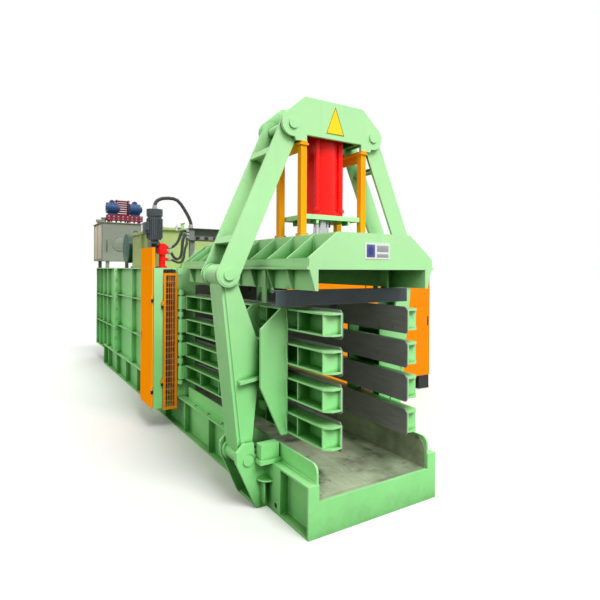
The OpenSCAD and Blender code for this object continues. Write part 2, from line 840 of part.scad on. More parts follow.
module door_hinges() {
  color(dark) placed() {
    for (x0 = [house_x0 + 70, house_x0 + 70 + door_w], z = [house_z0 + 260, house_z1 - 360]) {
      rod_z(x0 + 6, house_y, z - 30, z - seat, 9);
      bx(x0 - 2, x0 + 12, house_y, house_y + 20 - seat, z - 30, z - seat);
    }
    for (z = [560, 1480]) {
      rod_z(post_x1 - 12, tie_y - 12, z - 32, z - seat, 10);
      bx(post_x1 - 20, post_x1 - 4, tie_y - 12, tie_y + 8 - seat, z - 32, z - seat);
    }
    for (z = [480, 1560]) {
      rod_z(-tie_x - 14, tie_y + 10, z - 42, z - seat, 9);
      bx(-tie_x - 14, post_x0 - seat, tie_y + 10, tie_y + 22, z - 42, z - seat);
    }
  }
}

module side_cover() {
  color(orange) placed() difference() {
    union() {
      difference() {
        bx(-tie_x - 4, -tie_x + 8, tie_y + 24, tie_y + 548, 262, body_h + 6);
        bx(-tie_x, -tie_x + 9, tie_y + 30, tie_y + 542, 268, body_h);
      }
      for (z = [480, 1560]) {
        rod_z(-tie_x - 14, tie_y + 10, z, z + 40, 9);
        bx(-tie_x - 14, -tie_x - 3, tie_y + 10, tie_y + 34, z, z + 40);
      }
    }
    bx(-tie_x - 5, -tie_x + 1, tie_y + 480, tie_y + 514, 1010, 1150);
  }
}

module side_cap() {
  color(orange) placed() {
    difference() {
      bx(-tie_x - 4, -tie_x + 28, tie_y + 24, tie_y + 548, body_h + 6 + seat, body_h + 244);
      bx(-tie_x, -tie_x + 24, tie_y + 28, tie_y + 544, body_h + 6, body_h + 240);
    }
    bx(post_x0 + 2, -tie_x + 28, tie_y + 40, tie_y + 520, body_h + seat, body_h + 8);
  }
}

// drive on top of the tying station

module twister_motor() {
  mx = -844;
  my = tie_y + 300;
  color([0.22, 0.25, 0.27]) placed() {
    bx(mx - 64, mx + 30, my - 90, my + 90, body_h + seat, body_h + 14);
    bx(mx - 60, mx - 46, my - 60, my + 60, body_h + 13, body_h + 300);
    bx(mx - 60, mx + 46, my - 80, my + 80, body_h + 299, body_h + 318);
    rod_z(mx, my, body_h + 317, body_h + 350, 50);
    rod_z(mx, my, body_h + 349, body_h + 640, 84);
    for (i = [0 : 23])
      translate([mx, my, body_h + 370]) rotate([0, 0, i * 15]) translate([80, -2.5, 0]) cube([18, 5, 240]);
    rod_z(mx, my, body_h + 639, body_h + 726, 96);
    rod_z(mx, my, body_h + 180, body_h + 300, 34);
    bx(mx - 130, mx - 80, my - 60, my + 60, body_h + 430, body_h + 560);
  }
}

module twister_drive() {
  mx = -748;
  my = tie_y + 300;
  color([0.82, 0.10, 0.10]) placed() {
    rod_z(mx, my, body_h + seat, body_h + 24, 60);
    rod_z(mx, my, body_h + 23, body_h + 171, 40);
    rod_z(mx, my, body_h + 170, body_h + 290, 60);
    rod_z(mx, my, body_h + 289, body_h + 306, 44);
    for (z = [110, 200, 262]) rod_x(my, body_h + z, mx, mx + 80, 20);
  }
}

// needle housing on the right side

house_z0 = rail_low - 184;
house_z1 = 1900;
house_x0 = 700;
house_d = 800;
door_w = (house_x - house_x0 - 70) / 2;
roof_z = house_z1 - 4 - seat;
back_y = house_y + house_d - 5 - seat;
end_x = house_x - 5 - seat;

module house_frame() {
  color([0.16, 0.17, 0.17]) placed() {
    for (x = [house_x0 + 70, house_x0 + 20 + door_w, end_x - 70], y = [house_y + 20, back_y - 70]) {
      bx(x, x + 70, y, y + 70, 12, roof_z);
      bx(x - 25, x + 70, y - 12, y + 70, 0, 13);
    }
    for (y = [house_y + 20, back_y - 60], z = [house_z0 + 10, roof_z - 60])
      bx(house_x0 + 70, end_x, y, y + 60, z, z + 60);
    for (x = [house_x0 + 70, house_x0 + 20 + door_w, end_x - 60], z = [house_z0 + 10, roof_z - 60])
      bx(x, x + 60, house_y + 20, back_y, z, z + 60);
    // plinth under the outer end
    difference() {
      bx(end_x - 220, end_x, house_y + 16, back_y, 0, house_z0 + 12);
      bx(end_x - 212, end_x - 8, house_y + 24, back_y - 8, -1, house_z0 - 20);
    }
    // uprights beside the needles, with arms to the side of the body
    for (s = [-1, 1]) {
      y = slot_y + s * 150;
      for (x = [house_x0 + 70, end_x - 60]) bx(x, x + 60, y - 30, y + 30, house_z0 + 11, roof_z - 1);
      for (z = [430, 1820]) bx(hi + web_t + seat, house_x0 + 71, y - 30, y + 30, z, z + 60);
    }
  }
}

module house_rails() {
  color([0.8, 0.8, 0.82]) placed() {
    for (z = [rail_low, rail_high]) {
      rod_x(slot_y, z, house_x0 + 130 + seat, end_x - 60 - seat, 25);
      for (x = [house_x0 + 130 + seat, end_x - 100 - seat])
        bx(x, x + 40, slot_y - 176, slot_y + 176, z - 40, z + 40);
    }
  }
}

module house_covers() {
  color(orange) placed() {
    // end wall, rear wall and roof, folded from one sheet
    bx(house_x - 5, house_x, house_y + 16, house_y + house_d, house_z0, house_z1);
    bx(house_x0 + 70, house_x, house_y + house_d - 5, house_y + house_d, house_z0, house_z1);
    bx(house_x0 + 70, house_x, house_y, house_y + house_d, house_z1 - 4, house_z1);
  }
}

// front door of the housing, hinged at its left edge
module house_door(x0) {
  difference() {
    union() {
      difference() {
        bx(x0 + 16, x0 + door_w - 4, house_y, house_y + 14, house_z0, house_z1 - 6);
        bx(x0 + 20, x0 + door_w - 8, house_y + 4, house_y + 15, house_z0 + 4, house_z1 - 10);
      }
      for (z = [house_z0 + 260, house_z1 - 360]) {
        rod_z(x0 + 6, house_y, z, z + 60, 9);
        bx(x0 + 6, x0 + 22, house_y - 4, house_y + 4, z, z + 60);
      }
    }
    bx(x0 + door_w - 62, x0 + door_w - 32, house_y - 1, house_y + 5, 1015, 1165);
  }
}

module house_door_a() {
  color(orange) placed() house_door(house_x0 + 70);
}

module house_door_b() {
  color(orange) placed() house_door(house_x0 + 70 + door_w);
}

// carriage with the five needles that bring the wire across the channel

module needle_carriage() {
  cx = 2320;
  color([0.62, 0.64, 0.66]) placed() difference() {
    union() {
      bx(cx, cx + 90, slot_y - 60, slot_y + 60, rail_low - 50, rail_high + 50);
      for (k = [0 : 4]) {
        z = knot_z - k * finger_pitch;
        bx(760, cx + 1, slot_y - 12, slot_y + 12, z - 20, z + 20);
        bx(cx - 60, cx + 1, slot_y - 24, slot_y + 24, z - 30, z + 30);
      }
      for (z = [rail_low, rail_high]) bx(cx - 30, cx + 120, slot_y - 50, slot_y + 50, z - 48, z + 48);
    }
    for (z = [rail_low, rail_high]) rod_x(slot_y, z, cx - 31, cx + 121, 25 + fit);
    // wire eyes at the tips
    for (k = [0 : 4]) rod_y(775, knot_z - k * finger_pitch, slot_y - 20, slot_y + 20, 7);
  }
}

// power pack and machinery on top

module feed_hopper() {
  color([0.66, 0.78, 0.48]) placed() {
    difference() {
      bx(-450, 450, hop_y, hop_y + 1790, body_h + seat, body_h + 593);
      bx(-442, 442, hop_y + 8, hop_y + 1420, body_h, body_h + 594);
      bx(-442, 442, hop_y + 1432, hop_y + 1782, body_h, body_h + 585);
    }
    both() for (y = [hop_y + 8 : 352 : hop_y + 1070])
      bx(-490, -449, y, y + 10, body_h + seat, body_h + 560);
    both() bx(-492, -449, hop_y, hop_y + 1790, body_h + 560, body_h + 593);
    bx(-492, 492, hop_y - 40, hop_y + 1, body_h + 560, body_h + 593);
  }
}

module cross_beam() {
  color([0.45, 0.47, 0.46]) placed() {
    difference() {
      bx(-410, 410, 3150, 3250, body_h + 353, body_h + 513);
      bx(-411, 411, 3141, 3238, body_h + 365, body_h + 501);
    }
    bx(block_x, block_x + 62, block_y - 26, 3239, body_h + 364, body_h + 502);
    both() {
      bx(-390, -330, 3175, 3235, body_h + 12, body_h + 354);
      bx(-410, -310, 3160, 3250, body_h + seat, body_h + 13);
    }
  }
}

module valve_pipe() {
  color([0.62, 0.85, 0.55]) placed() {
    rod_z(-470, 3250, body_h + 14, body_h + 570, 22);
    rod_z(-470, 3250, body_h + seat, body_h + 15, 46);
    rod_z(-470, 3250, body_h + 430, body_h + 450, 34);
    rod_x(3250, body_h + 520, -520, -470, 16);
  }
}

module oil_tank() {
  color([0.60, 0.63, 0.58]) placed() {
    difference() {
      bx(-700, 60, tank_y, tank_y + tank_len, tank_z, tank_z + tank_h);
      bx(-694, 54, tank_y + 6, tank_y + tank_len - 6, tank_z + 6, tank_z + tank_h + 1);
    }
    for (x = [-620, -60], y = [tank_y + 40, tank_y + tank_len - 120])
      bx(x, x + 60, y, y + 80, body_h + seat, tank_z + 1);
    rod_y(-360, tank_z + 360, tank_y - 12, tank_y + 1, 160);
  }
}

module tank_lid() {
  color([0.72, 0.74, 0.72]) placed() {
    bx(-724, 84, tank_y - 24, tank_y + tank_len + 8, tank_z + tank_h + seat, tank_z + tank_h + 12);
    for (x = [-700 : 152 : 60], y = [tank_y - 10, tank_y + tank_len - 10])
      rod_z(x, y, tank_z + tank_h + 11, tank_z + tank_h + 20, 9, $fn = 6);
  }
}

lid_z = tank_z + tank_h + 12;

module manifold() {
  color([0.45, 0.05, 0.12]) placed() {
    bx(-600, 110, tank_y + 96, tank_y + 224, lid_z + 50, lid_z + 165);
    for (x = [-580, 20]) bx(x, x + 50, tank_y + 120, tank_y + 200, lid_z + seat, lid_z + 51);
    for (x = [-500 : 90 : -50]) rod_z(x, tank_y + 160, lid_z + 22, lid_z + 51, 16);
  }
}

module cooling_pumps() {
  color([0.10, 0.24, 0.45]) placed() for (x = [-600, -150]) {
    z = lid_z + 165;
    bx(x + 30, x + 200, tank_y + 110, tank_y + 210, z + seat, z + 40);
    rod_x(tank_y + 160, z + 140, x, x + 210, 112);
    rod_x(tank_y + 160, z + 140, x + 209, x + 250, 62);
    bx(x + 60, x + 150, tank_y + 120, tank_y + 200, z + 236, z + 290);
  }
}

pump_y = joint_y + 80;
pump_z = body_h + 360;

module main_motor() {
  color([0.07, 0.22, 0.16]) placed() translate([pump_x, 0, 0]) {
    rod_x(pump_y, pump_z, -600, -500, 268);
    rod_x(pump_y, pump_z, -501, 40, 238);
    for (i = [0 : 29])
      translate([-480, pump_y, pump_z]) rotate([i * 12, 0, 0]) translate([0, -3, 232]) cube([470, 6, 26]);
    rod_x(pump_y, pump_z, 39, 70, 262);
    for (x = [-460, -90])
      bx(x, x + 90, pump_y - 230, pump_y + 230, body_h + seat, body_h + 30);
    for (x = [-440, -70], s = [-1, 1])
      bx(x, x + 50, pump_y + s * 170 - 22, pump_y + s * 170 + 22, body_h + 29, pump_z - 130);
    bx(-330, -120, pump_y - 300, pump_y - 200, pump_z + 60, pump_z + 200);
  }
}

module main_pump() {
  color([0.25, 0.27, 0.28]) placed() translate([pump_x, 0, 0]) {
    rod_x(pump_y, pump_z, 70 + seat, 190, 130);
    rod_x(pump_y, pump_z, 189, 420, 92);
    rod_y(330, pump_z, pump_y - 160, pump_y + 160, 44);
    bx(150, 190, pump_y - 120, pump_y + 120, body_h + seat, pump_z - 60);
  }
}

// cords: smooth path through the named points, then one closed tube

function bend(a, b, c, d, t) =
  0.5 * (2 * b + (c - a) * t + (2 * a - 5 * b + 4 * c - d) * t * t + (3 * b - a - 3 * c + d) * t * t * t);
function path(p, m) = [
  for (i = [0 : len(p) - 2], j = [0 : m - 1])
    bend(p[max(i - 1, 0)], p[i], p[i + 1], p[min(i + 2, len(p) - 1)], j / m),
  p[len(p) - 1]];
function way(q, i) = q[min(i + 1, len(q) - 1)] - q[max(i - 1, 0)];
function unit(v) = v / norm(v);
function side_of(t) = unit(cross(t, [0.05, 1, 0.02]));

module tube(p, m, r) {
  q = path(p, m);
  n = 10;
  pts = [
    for (i = [0 : len(q) - 1])
      let (t = unit(i == 0 ? p[1] - p[0] : i == len(q) - 1 ? p[len(p) - 1] - p[len(p) - 2] : way(q, i)),
        u = side_of(t), v = cross(t, u))
      for (k = [0 : n - 1]) q[i] + r * (cos(k * 360 / n) * u + sin(k * 360 / n) * v)];
  last = (len(q) - 1) * n;
  polyhedron(points = pts, faces = concat(
    [[for (k = [0 : n - 1]) k]],
    [[for (k = [n - 1 : -1 : 0]) last + k]],
    [for (i = [0 : len(q) - 2], k = [0 : n - 1])
      [i * n + k, (i + 1) * n + k, (i + 1) * n + (k + 1) % n, i * n + (k + 1) % n]]), convexity = 6);
}

drive_x = -748 + 80;
drive_y = tie_y + 300;
block_x = -402;
block_y = 3190;
block_z = body_h + 433;

module hose_upper() {
  a = [drive_x + seat, drive_y, body_h + 262];
  b = [block_x - seat, block_y, block_z + 42];
  tube([a, a + [34, 0, 0], a + [78, 0, 26], a + [124, 0, 84], b - [96, 0, 6], b - [34, 0, 0], b], 3, 17);
}

module hose_lower() {
  a = [drive_x + seat, drive_y, body_h + 200];
  b = [block_x - seat, block_y, block_z];
  tube([a, a + [30, 0, 0], a + [62, 0, -54], a + [108, 0, -84], a + [160, 0, -40], b - [76, 0, 62],
    b - [34, 0, 0], b], 3, 17);
}

module hose_middle() {
  a = [drive_x + seat, drive_y, body_h + 110];
  b = [block_x - seat, block_y, block_z - 42];
  tube([a, a + [30, 0, 0], a + [70, -26, -22], a + [118, -46, -38], a + [172, -50, -8],
    b + [-68, -44, -151], b - [42, 38, 81], b - [36, 14, 19], b - [22, 0, 0], b], 3, 16);
}

module hose_arch() {
  a = [-844, tie_y + 300, body_h + 726 + seat];
  b = [-372, 3210, body_h + 513 + seat];
  tube([a, a + [0, 0, 46], a + [34, 4, 112], a + [130, 8, 150], a + [290, 12, 136], b + [-56, -2, 190],
    b + [0, 0, 70], b], 3, 22);
}

module hoses() {
  color(dark) placed() {
    hose_upper();
    hose_lower();
    hose_middle();
    hose_arch();
  }
}

module oil_pipes() {
  color([0.6, 0.62, 0.6]) placed() {
    a = [pump_x + 330, pump_y - 160 - seat, pump_z];
    tube([a, a - [0, 90, 0], a - [0, 160, 60], [pump_x + 330, pump_y - 340, body_h + 60],
      [pump_x + 330, pump_y - 340, body_h + seat]], 3, 24);
    b = [pump_x + 330, pump_y + 160 + seat, pump_z];
    tube([b, b + [0, 160, 0], b + [-40, 460, -20], [260, tank_y + 90, tank_z + 120],
      [160, tank_y + 120, tank_z + 120], [60 + seat, tank_y + 120, tank_z + 120]], 4, 30);
  }
}

// plates without any print

module sign_plate() {
  color([1.0, 0.85, 0.05]) placed()
    plate_xz(axis_y - yoke_in - yoke_t - 3, 3 - seat / 2) polygon([
      [-98, 3100], [98, 3100], [0, 3350]]);
}

module name_plate() {
  color([0.2, 0.25, 0.5]) placed() bx(-114, 140, plat_y0 - 3, plat_y0 - seat / 2, 2002, 2128);
}

base_frame();
channel_floor();
pin_brackets();
arm_left();
arm_right();
link_left();
link_right();
yoke_frame();
yoke_pins();
press_barrel();
guide_plate();
press_rod();
platen_frame();
press_beam();
guide_posts();
side_wall_left();
side_wall_right();
finger_liners_left();
finger_liners_right();
hinge_pins();
body_front();
body_rear();
joint_bolts();
channel_liners();
ram();
ram_rod();
ram_cylinder();
tying_frame();
twister_gearbox();
twister_hook_1();
twister_hook_2();
twister_hook_3();
twister_hook_4();
twister_hook_5();
mesh_guard();
door_hinges();
side_cover();
side_cap();
twister_motor();
twister_drive();
house_frame();
house_rails();
house_covers();
house_door_a();
house_door_b();
needle_carriage();
feed_hopper();
cross_beam();
valve_pipe();
oil_tank();
tank_lid();
manifold();
cooling_pumps();
main_motor();
main_pump();
hoses();
oil_pipes();
sign_plate();
name_plate();
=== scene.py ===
# %% [markdown]
# # A recycling baler, dressed for a studio picture
# The solids of the machine come from its CAD model. This lesson gives them paint, wear and light, and adds
# the small parts that a draughtsman leaves out: weld beads, bolts, fittings, fins and plates. Everything is
# in metres, in the frame of the model: +Z up, +Y along the channel to the rear, origin on the floor under
# the press.

# %% Load the frame
import json
import math
import bpy
import bmesh
from mathutils import Matrix, Vector


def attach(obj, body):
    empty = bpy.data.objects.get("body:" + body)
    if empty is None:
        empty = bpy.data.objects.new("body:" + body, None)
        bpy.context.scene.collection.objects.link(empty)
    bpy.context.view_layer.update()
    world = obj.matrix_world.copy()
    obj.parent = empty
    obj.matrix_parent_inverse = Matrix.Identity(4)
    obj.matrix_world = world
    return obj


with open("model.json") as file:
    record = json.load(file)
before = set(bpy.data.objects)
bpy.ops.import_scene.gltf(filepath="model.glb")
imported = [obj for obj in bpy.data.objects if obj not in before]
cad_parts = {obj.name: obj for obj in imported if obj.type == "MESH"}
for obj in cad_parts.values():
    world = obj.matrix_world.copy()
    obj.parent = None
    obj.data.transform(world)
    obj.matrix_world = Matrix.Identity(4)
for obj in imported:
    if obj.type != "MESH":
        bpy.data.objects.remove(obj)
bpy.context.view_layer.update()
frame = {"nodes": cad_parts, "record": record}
scene = bpy.context.scene

# %% [markdown]
# ## Camera
# The photograph was taken from head height, left of the outlet, with the camera held level. Uprights stay
# upright in such a picture, and the horizon is moved by shifting the lens, so the camera here is level too.

# %% Camera
EYE = Vector((-2.518, -3.629, 1.922))
YAW = math.radians(32.3)
ROLL = math.radians(0.3)
LENS_MM = 28.97
SENSOR_MM = 36.0
HORIZON_SHIFT = -0.0515

camera = bpy.data.objects.new("camera", bpy.data.cameras.new("camera"))
scene.collection.objects.link(camera)
camera.data.sensor_width = SENSOR_MM
camera.data.lens = LENS_MM
camera.data.shift_y = HORIZON_SHIFT
camera.data.clip_start = 0.05
camera.data.clip_end = 400.0
upright = Matrix.Rotation(-YAW, 4, "Z") @ Matrix.Rotation(math.radians(90), 4, "X")
camera.matrix_world = Matrix.Translation(EYE) @ upright @ Matrix.Rotation(ROLL, 4, "Z")
scene.camera = camera
print("camera at", [round(c, 3) for c in EYE])

# %% [markdown]
# ## Sky
# An overcast sky lights steel evenly, with soft shadows under the plates. The sky here is dimmer and warmer
# to the left and towards the ground, as in a yard with a brown floor, so the side of the machine lies in a
# warm shade. The camera and the reflections see plain white instead.

# %% Sky
scene.view_settings.view_transform = "Standard"

world = bpy.data.worlds.new("sky")
scene.world = world
world.use_nodes = True
sky = world.node_tree
sky.nodes.clear()
ambient = sky.nodes.new("ShaderNodeBackground")
compass = sky.nodes.new("ShaderNodeTexCoord")
split = sky.nodes.new("ShaderNodeSeparateXYZ")
sky.links.new(compass.outputs["Generated"], split.inputs[0])


def sky_ramp(axis, low, high, to_low, to_high):
    made = sky.nodes.new("ShaderNodeMapRange")
    for key, value in (("From Min", low), ("From Max", high), ("To Min", to_low), ("To Max", to_high)):
        made.inputs[key].default_value = value
    sky.links.new(split.outputs[axis], made.inputs["Value"])
    return made.outputs["Result"]


brightness = sky.nodes.new("ShaderNodeMath")
brightness.operation = "MULTIPLY"
sky.links.new(sky_ramp("Z", low=-0.25, high=0.55, to_low=0.20, to_high=0.98), brightness.inputs[0])
sky.links.new(sky_ramp("X", low=-0.75, high=0.15, to_low=0.55, to_high=1.0), brightness.inputs[1])
sky.links.new(brightness.outputs[0], ambient.inputs["Strength"])
warmth = sky.nodes.new("ShaderNodeMix")
warmth.data_type = "RGBA"
warmth.inputs["A"].default_value = (1.0, 0.86, 0.50, 1)
warmth.inputs["B"].default_value = (0.93, 0.97, 1.0, 1)
sky.links.new(brightness.outputs[0], warmth.inputs["Factor"])
sky.links.new(warmth.outputs["Result"], ambient.inputs["Color"])
backdrop = sky.nodes.new("ShaderNodeBackground")
backdrop.inputs["Color"].default_value = (1, 1, 1, 1)
backdrop.inputs["Strength"].default_value = 1.0
rays = sky.nodes.new("ShaderNodeLightPath")
seen = sky.nodes.new("ShaderNodeMath")
seen.operation = "MAXIMUM"
mix = sky.nodes.new("ShaderNodeMixShader")
out = sky.nodes.new("ShaderNodeOutputWorld")
sky.links.new(rays.outputs["Is Camera Ray"], seen.inputs[0])
sky.links.new(rays.outputs["Is Glossy Ray"], seen.inputs[1])
sky.links.new(seen.outputs[0], mix.inputs["Fac"])
sky.links.new(ambient.outputs[0], mix.inputs[1])
sky.links.new(backdrop.outputs[0], mix.inputs[2])
sky.links.new(mix.outputs[0], out.inputs["Surface"])
print("sky nodes", len(sky.nodes))

# %% [markdown]
# ## Lamps and floor
# A wide sun over the camera's shoulder stands for the bright part of the sky. Two weak ones, still wider,
# lift the shade on either side. The floor is pale and takes the shadows, but throws no light back.

# %% Lamps and floor
FLOOR_HALF = 150
FLOOR_DROP = 0.001


def add_sun(name, towards, strength, spread):
    lamp = bpy.data.objects.new(name, bpy.data.lights.new(name, "SUN"))
    lamp.data.energy = strength
    lamp.data.angle = math.radians(spread)
    lamp.rotation_mode = "QUATERNION"
    lamp.rotation_quaternion = Vector(towards).to_track_quat("-Z", "Y")
    scene.collection.objects.link(lamp)


add_sun("key_light", towards=(-0.04, 0.64, -0.77), strength=2.68, spread=30)
add_sun("fill_light", towards=(-0.9, 0.2, -0.35), strength=0.30, spread=60)
add_sun("side_light", towards=(0.85, 0.30, -0.42), strength=0.75, spread=50)

floor_mesh = bmesh.new()
bmesh.ops.create_grid(floor_mesh, x_segments=1, y_segments=1, size=FLOOR_HALF)
floor_data = bpy.data.meshes.new("studio_floor")
floor_mesh.to_mesh(floor_data)
floor_mesh.free()
studio_floor = bpy.data.objects.new("studio_floor", floor_data)
studio_floor.location.z = -FLOOR_DROP
studio_floor.visible_diffuse = False
scene.collection.objects.link(studio_floor)
floor_paint = bpy.data.materials.new("studio_floor")
floor_paint.use_nodes = True
floor_surface = floor_paint.node_tree.nodes["Principled BSDF"]
floor_surface.inputs["Base Color"].default_value = (0.80, 0.80, 0.79, 1)
floor_surface.inputs["Roughness"].default_value = 0.9
floor_surface.inputs["Specular IOR Level"].default_value = 0.1
floor_data.materials.append(floor_paint)

# %% [markdown]
# ## Painted steel
# The plates are sprayed by hand after welding. The coat is a satin mint green with soft clouds in its tone.
# It is paler on edges and weld toes, which is a painted highlight, darker in recesses, which is painted
# shade, and dust settles on what faces up. One recipe makes every paint of the machine: noise moves the
# tone, a bevelled normal finds the edges for the painted highlight, the room around a place finds the
# recesses for the painted shade, and the normal's height finds the dust. The signal orange of the left cover
# has a weak emission, a painted glow that keeps it bright in the shade.

# %% Shader helpers
def srgb(red, green, blue):
    """A colour as it is seen on a screen, 0 to 255, as the linear colour that a shader wants."""
    shares = [c / 255 for c in (red, green, blue)]
    return tuple(((c + 0.055) / 1.055) ** 2.4 if c > 0.04 else c / 12.92 for c in shares) + (1,)


def darker(colour, share):
    return tuple(c * share for c in colour[:3]) + (1,)


def lighter(colour, share):
    return tuple(c + (1 - c) * share for c in colour[:3]) + (1,)


def stronger(colour, share):
    return tuple(min(1.0, c * (1 + share)) for c in colour[:3]) + (1,)


class Shader:
    """A material's node tree with short calls for the nodes that every finish here uses."""

    def __init__(self, name):
        self.material = bpy.data.materials.new(name)
        self.material.use_nodes = True
        self.tree = self.material.node_tree
        self.surface = self.tree.nodes["Principled BSDF"]
        self.place = self.node("ShaderNodeTexCoord").outputs["Object"]

    def node(self, kind, **settings):
        made = self.tree.nodes.new(kind)
        for key, value in settings.items():
            setattr(made, key, value)
        return made

    def link(self, source, target):
        self.tree.links.new(source, target)

    def noise(self, scale, detail=3.0, rough=0.55, stretch=None):
        made = self.node("ShaderNodeTexNoise")
        made.inputs["Scale"].default_value = scale
        made.inputs["Detail"].default_value = detail
        made.inputs["Roughness"].default_value = rough
        place = self.place
        if stretch:
            turn = self.node("ShaderNodeMapping")
            turn.inputs["Scale"].default_value = stretch
            self.link(place, turn.inputs["Vector"])
            place = turn.outputs["Vector"]
        self.link(place, made.inputs["Vector"])
        return made.outputs["Fac"]

    def ramp(self, value, low, high, to_low=0.0, to_high=1.0):
        made = self.node("ShaderNodeMapRange")
        made.inputs["From Min"].default_value = low
        made.inputs["From Max"].default_value = high
        made.inputs["To Min"].default_value = to_low
        made.inputs["To Max"].default_value = to_high
        self.link(value, made.inputs["Value"])
        return made.outputs["Result"]

    def times(self, one, other):
        made = self.node("ShaderNodeMath", operation="MULTIPLY")
        for socket, value in zip(made.inputs, (one, other)):
            if isinstance(value, (int, float)):
                socket.default_value = value
            else:
                self.link(value, socket)
        return made.outputs[0]

    def blend(self, share, one, other):
        made = self.node("ShaderNodeMix", data_type="RGBA")
        self.link(share, made.inputs["Factor"])
        for socket, value in ((made.inputs["A"], one), (made.inputs["B"], other)):
            if isinstance(value, tuple):
                socket.default_value = value
            else:
                self.link(value, socket)
        return made.outputs["Result"]

    def recess_shade_mask(self, reach, low, high):
        """1 in narrow recesses, where the paint is darkened as painted shade, and 0 on open faces."""
        made = self.node("ShaderNodeAmbientOcclusion", samples=8)
        made.inputs["Distance"].default_value = reach
        return self.ramp(made.outputs["AO"], low, high)

    def height(self):
        split = self.node("ShaderNodeSeparateXYZ")
        self.link(self.place, split.inputs[0])
        return split.outputs["Z"]

    def facing_up(self):
        split = self.node("ShaderNodeSeparateXYZ")
        self.link(self.node("ShaderNodeNewGeometry").outputs["Normal"], split.inputs[0])
        return self.ramp(split.outputs["Z"], 0.55, 0.95)

    def edges(self, radius):
        """1 on the edges of the plates and 0 on their faces."""
        rounded = self.node("ShaderNodeBevel", samples=4)
        rounded.inputs["Radius"].default_value = radius
        compare = self.node("ShaderNodeVectorMath", operation="DOT_PRODUCT")
        self.link(rounded.outputs["Normal"], compare.inputs[0])
        self.link(self.node("ShaderNodeNewGeometry").outputs["Normal"], compare.inputs[1])
        return self.ramp(compare.outputs["Value"], 0.985, 0.86)

    def bump(self, value, strength, distance):
        made = self.node("ShaderNodeBump")
        made.inputs["Strength"].default_value = strength
        made.inputs["Distance"].default_value = distance
        self.link(value, made.inputs["Height"])
        self.link(made.outputs["Normal"], self.surface.inputs["Normal"])


# %% Paint recipe
DUST = srgb(172, 160, 140)
MUD = srgb(112, 104, 84)


def paint(name, colour, rough=0.42, cloud=0.10, edge=0.35, dust=0.35, grime=0.35, gloss=0.3,
          pale_top=None, painted_glow=0.0, recess_shade=None):
    """Sprayed paint. cloud, edge, dust and grime are shares, edge being a painted highlight on the edges.
    pale_top is its colour high up on the machine, and the colour it takes in recesses is painted shade."""
    s = Shader(name)
    tone = s.ramp(s.noise(1.7, 4), 0.35, 0.68)
    coat = s.blend(tone, darker(colour, 1 - cloud), stronger(colour, cloud))
    if pale_top:
        coat = s.blend(s.ramp(s.height(), 0.8, 2.2, 0.0, 0.50), coat, pale_top)
    speck = s.times(s.ramp(s.noise(38, 5, 0.7), 0.60, 0.72), 0.30)
    coat = s.blend(speck, coat, darker(colour, 0.72))
    # Edges are lightened towards white: a painted highlight.
    coat = s.blend(s.times(s.edges(0.005), edge), coat, lighter(colour, 0.55))
    runs = s.times(s.ramp(s.noise(5.0, 5, 0.6, stretch=(1.6, 1.6, 0.16)), 0.56, 0.80), 0.35 * grime)
    coat = s.blend(runs, coat, darker(colour, 0.42))
    low = s.times(s.ramp(s.height(), 0.30, 0.0), s.ramp(s.noise(7, 5, 0.65), 0.42, 0.70, 0.0, 0.8 * grime))
    coat = s.blend(low, coat, MUD)
    top = s.times(s.facing_up(), s.ramp(s.noise(4.2, 6, 0.65), 0.40, 0.66, 0.10 * dust, 1.2 * dust))
    coat = s.blend(top, coat, DUST)
    # Recesses take a darker green: painted shade.
    if recess_shade:
        coat = s.blend(s.recess_shade_mask(0.42, 0.64, 0.28), coat, recess_shade)
    s.link(coat, s.surface.inputs["Base Color"])
    s.link(s.ramp(s.noise(9, 4), 0.3, 0.7, rough - 0.06, rough + 0.14), s.surface.inputs["Roughness"])
    s.surface.inputs["Specular IOR Level"].default_value = gloss
    # A weak emission in the paint's own colour: a painted glow, not a lamp.
    if painted_glow:
        s.surface.inputs["Emission Color"].default_value = colour
        s.surface.inputs["Emission Strength"].default_value = painted_glow
    s.bump(s.noise(85, 2), 0.10, 0.002)
    return s.material


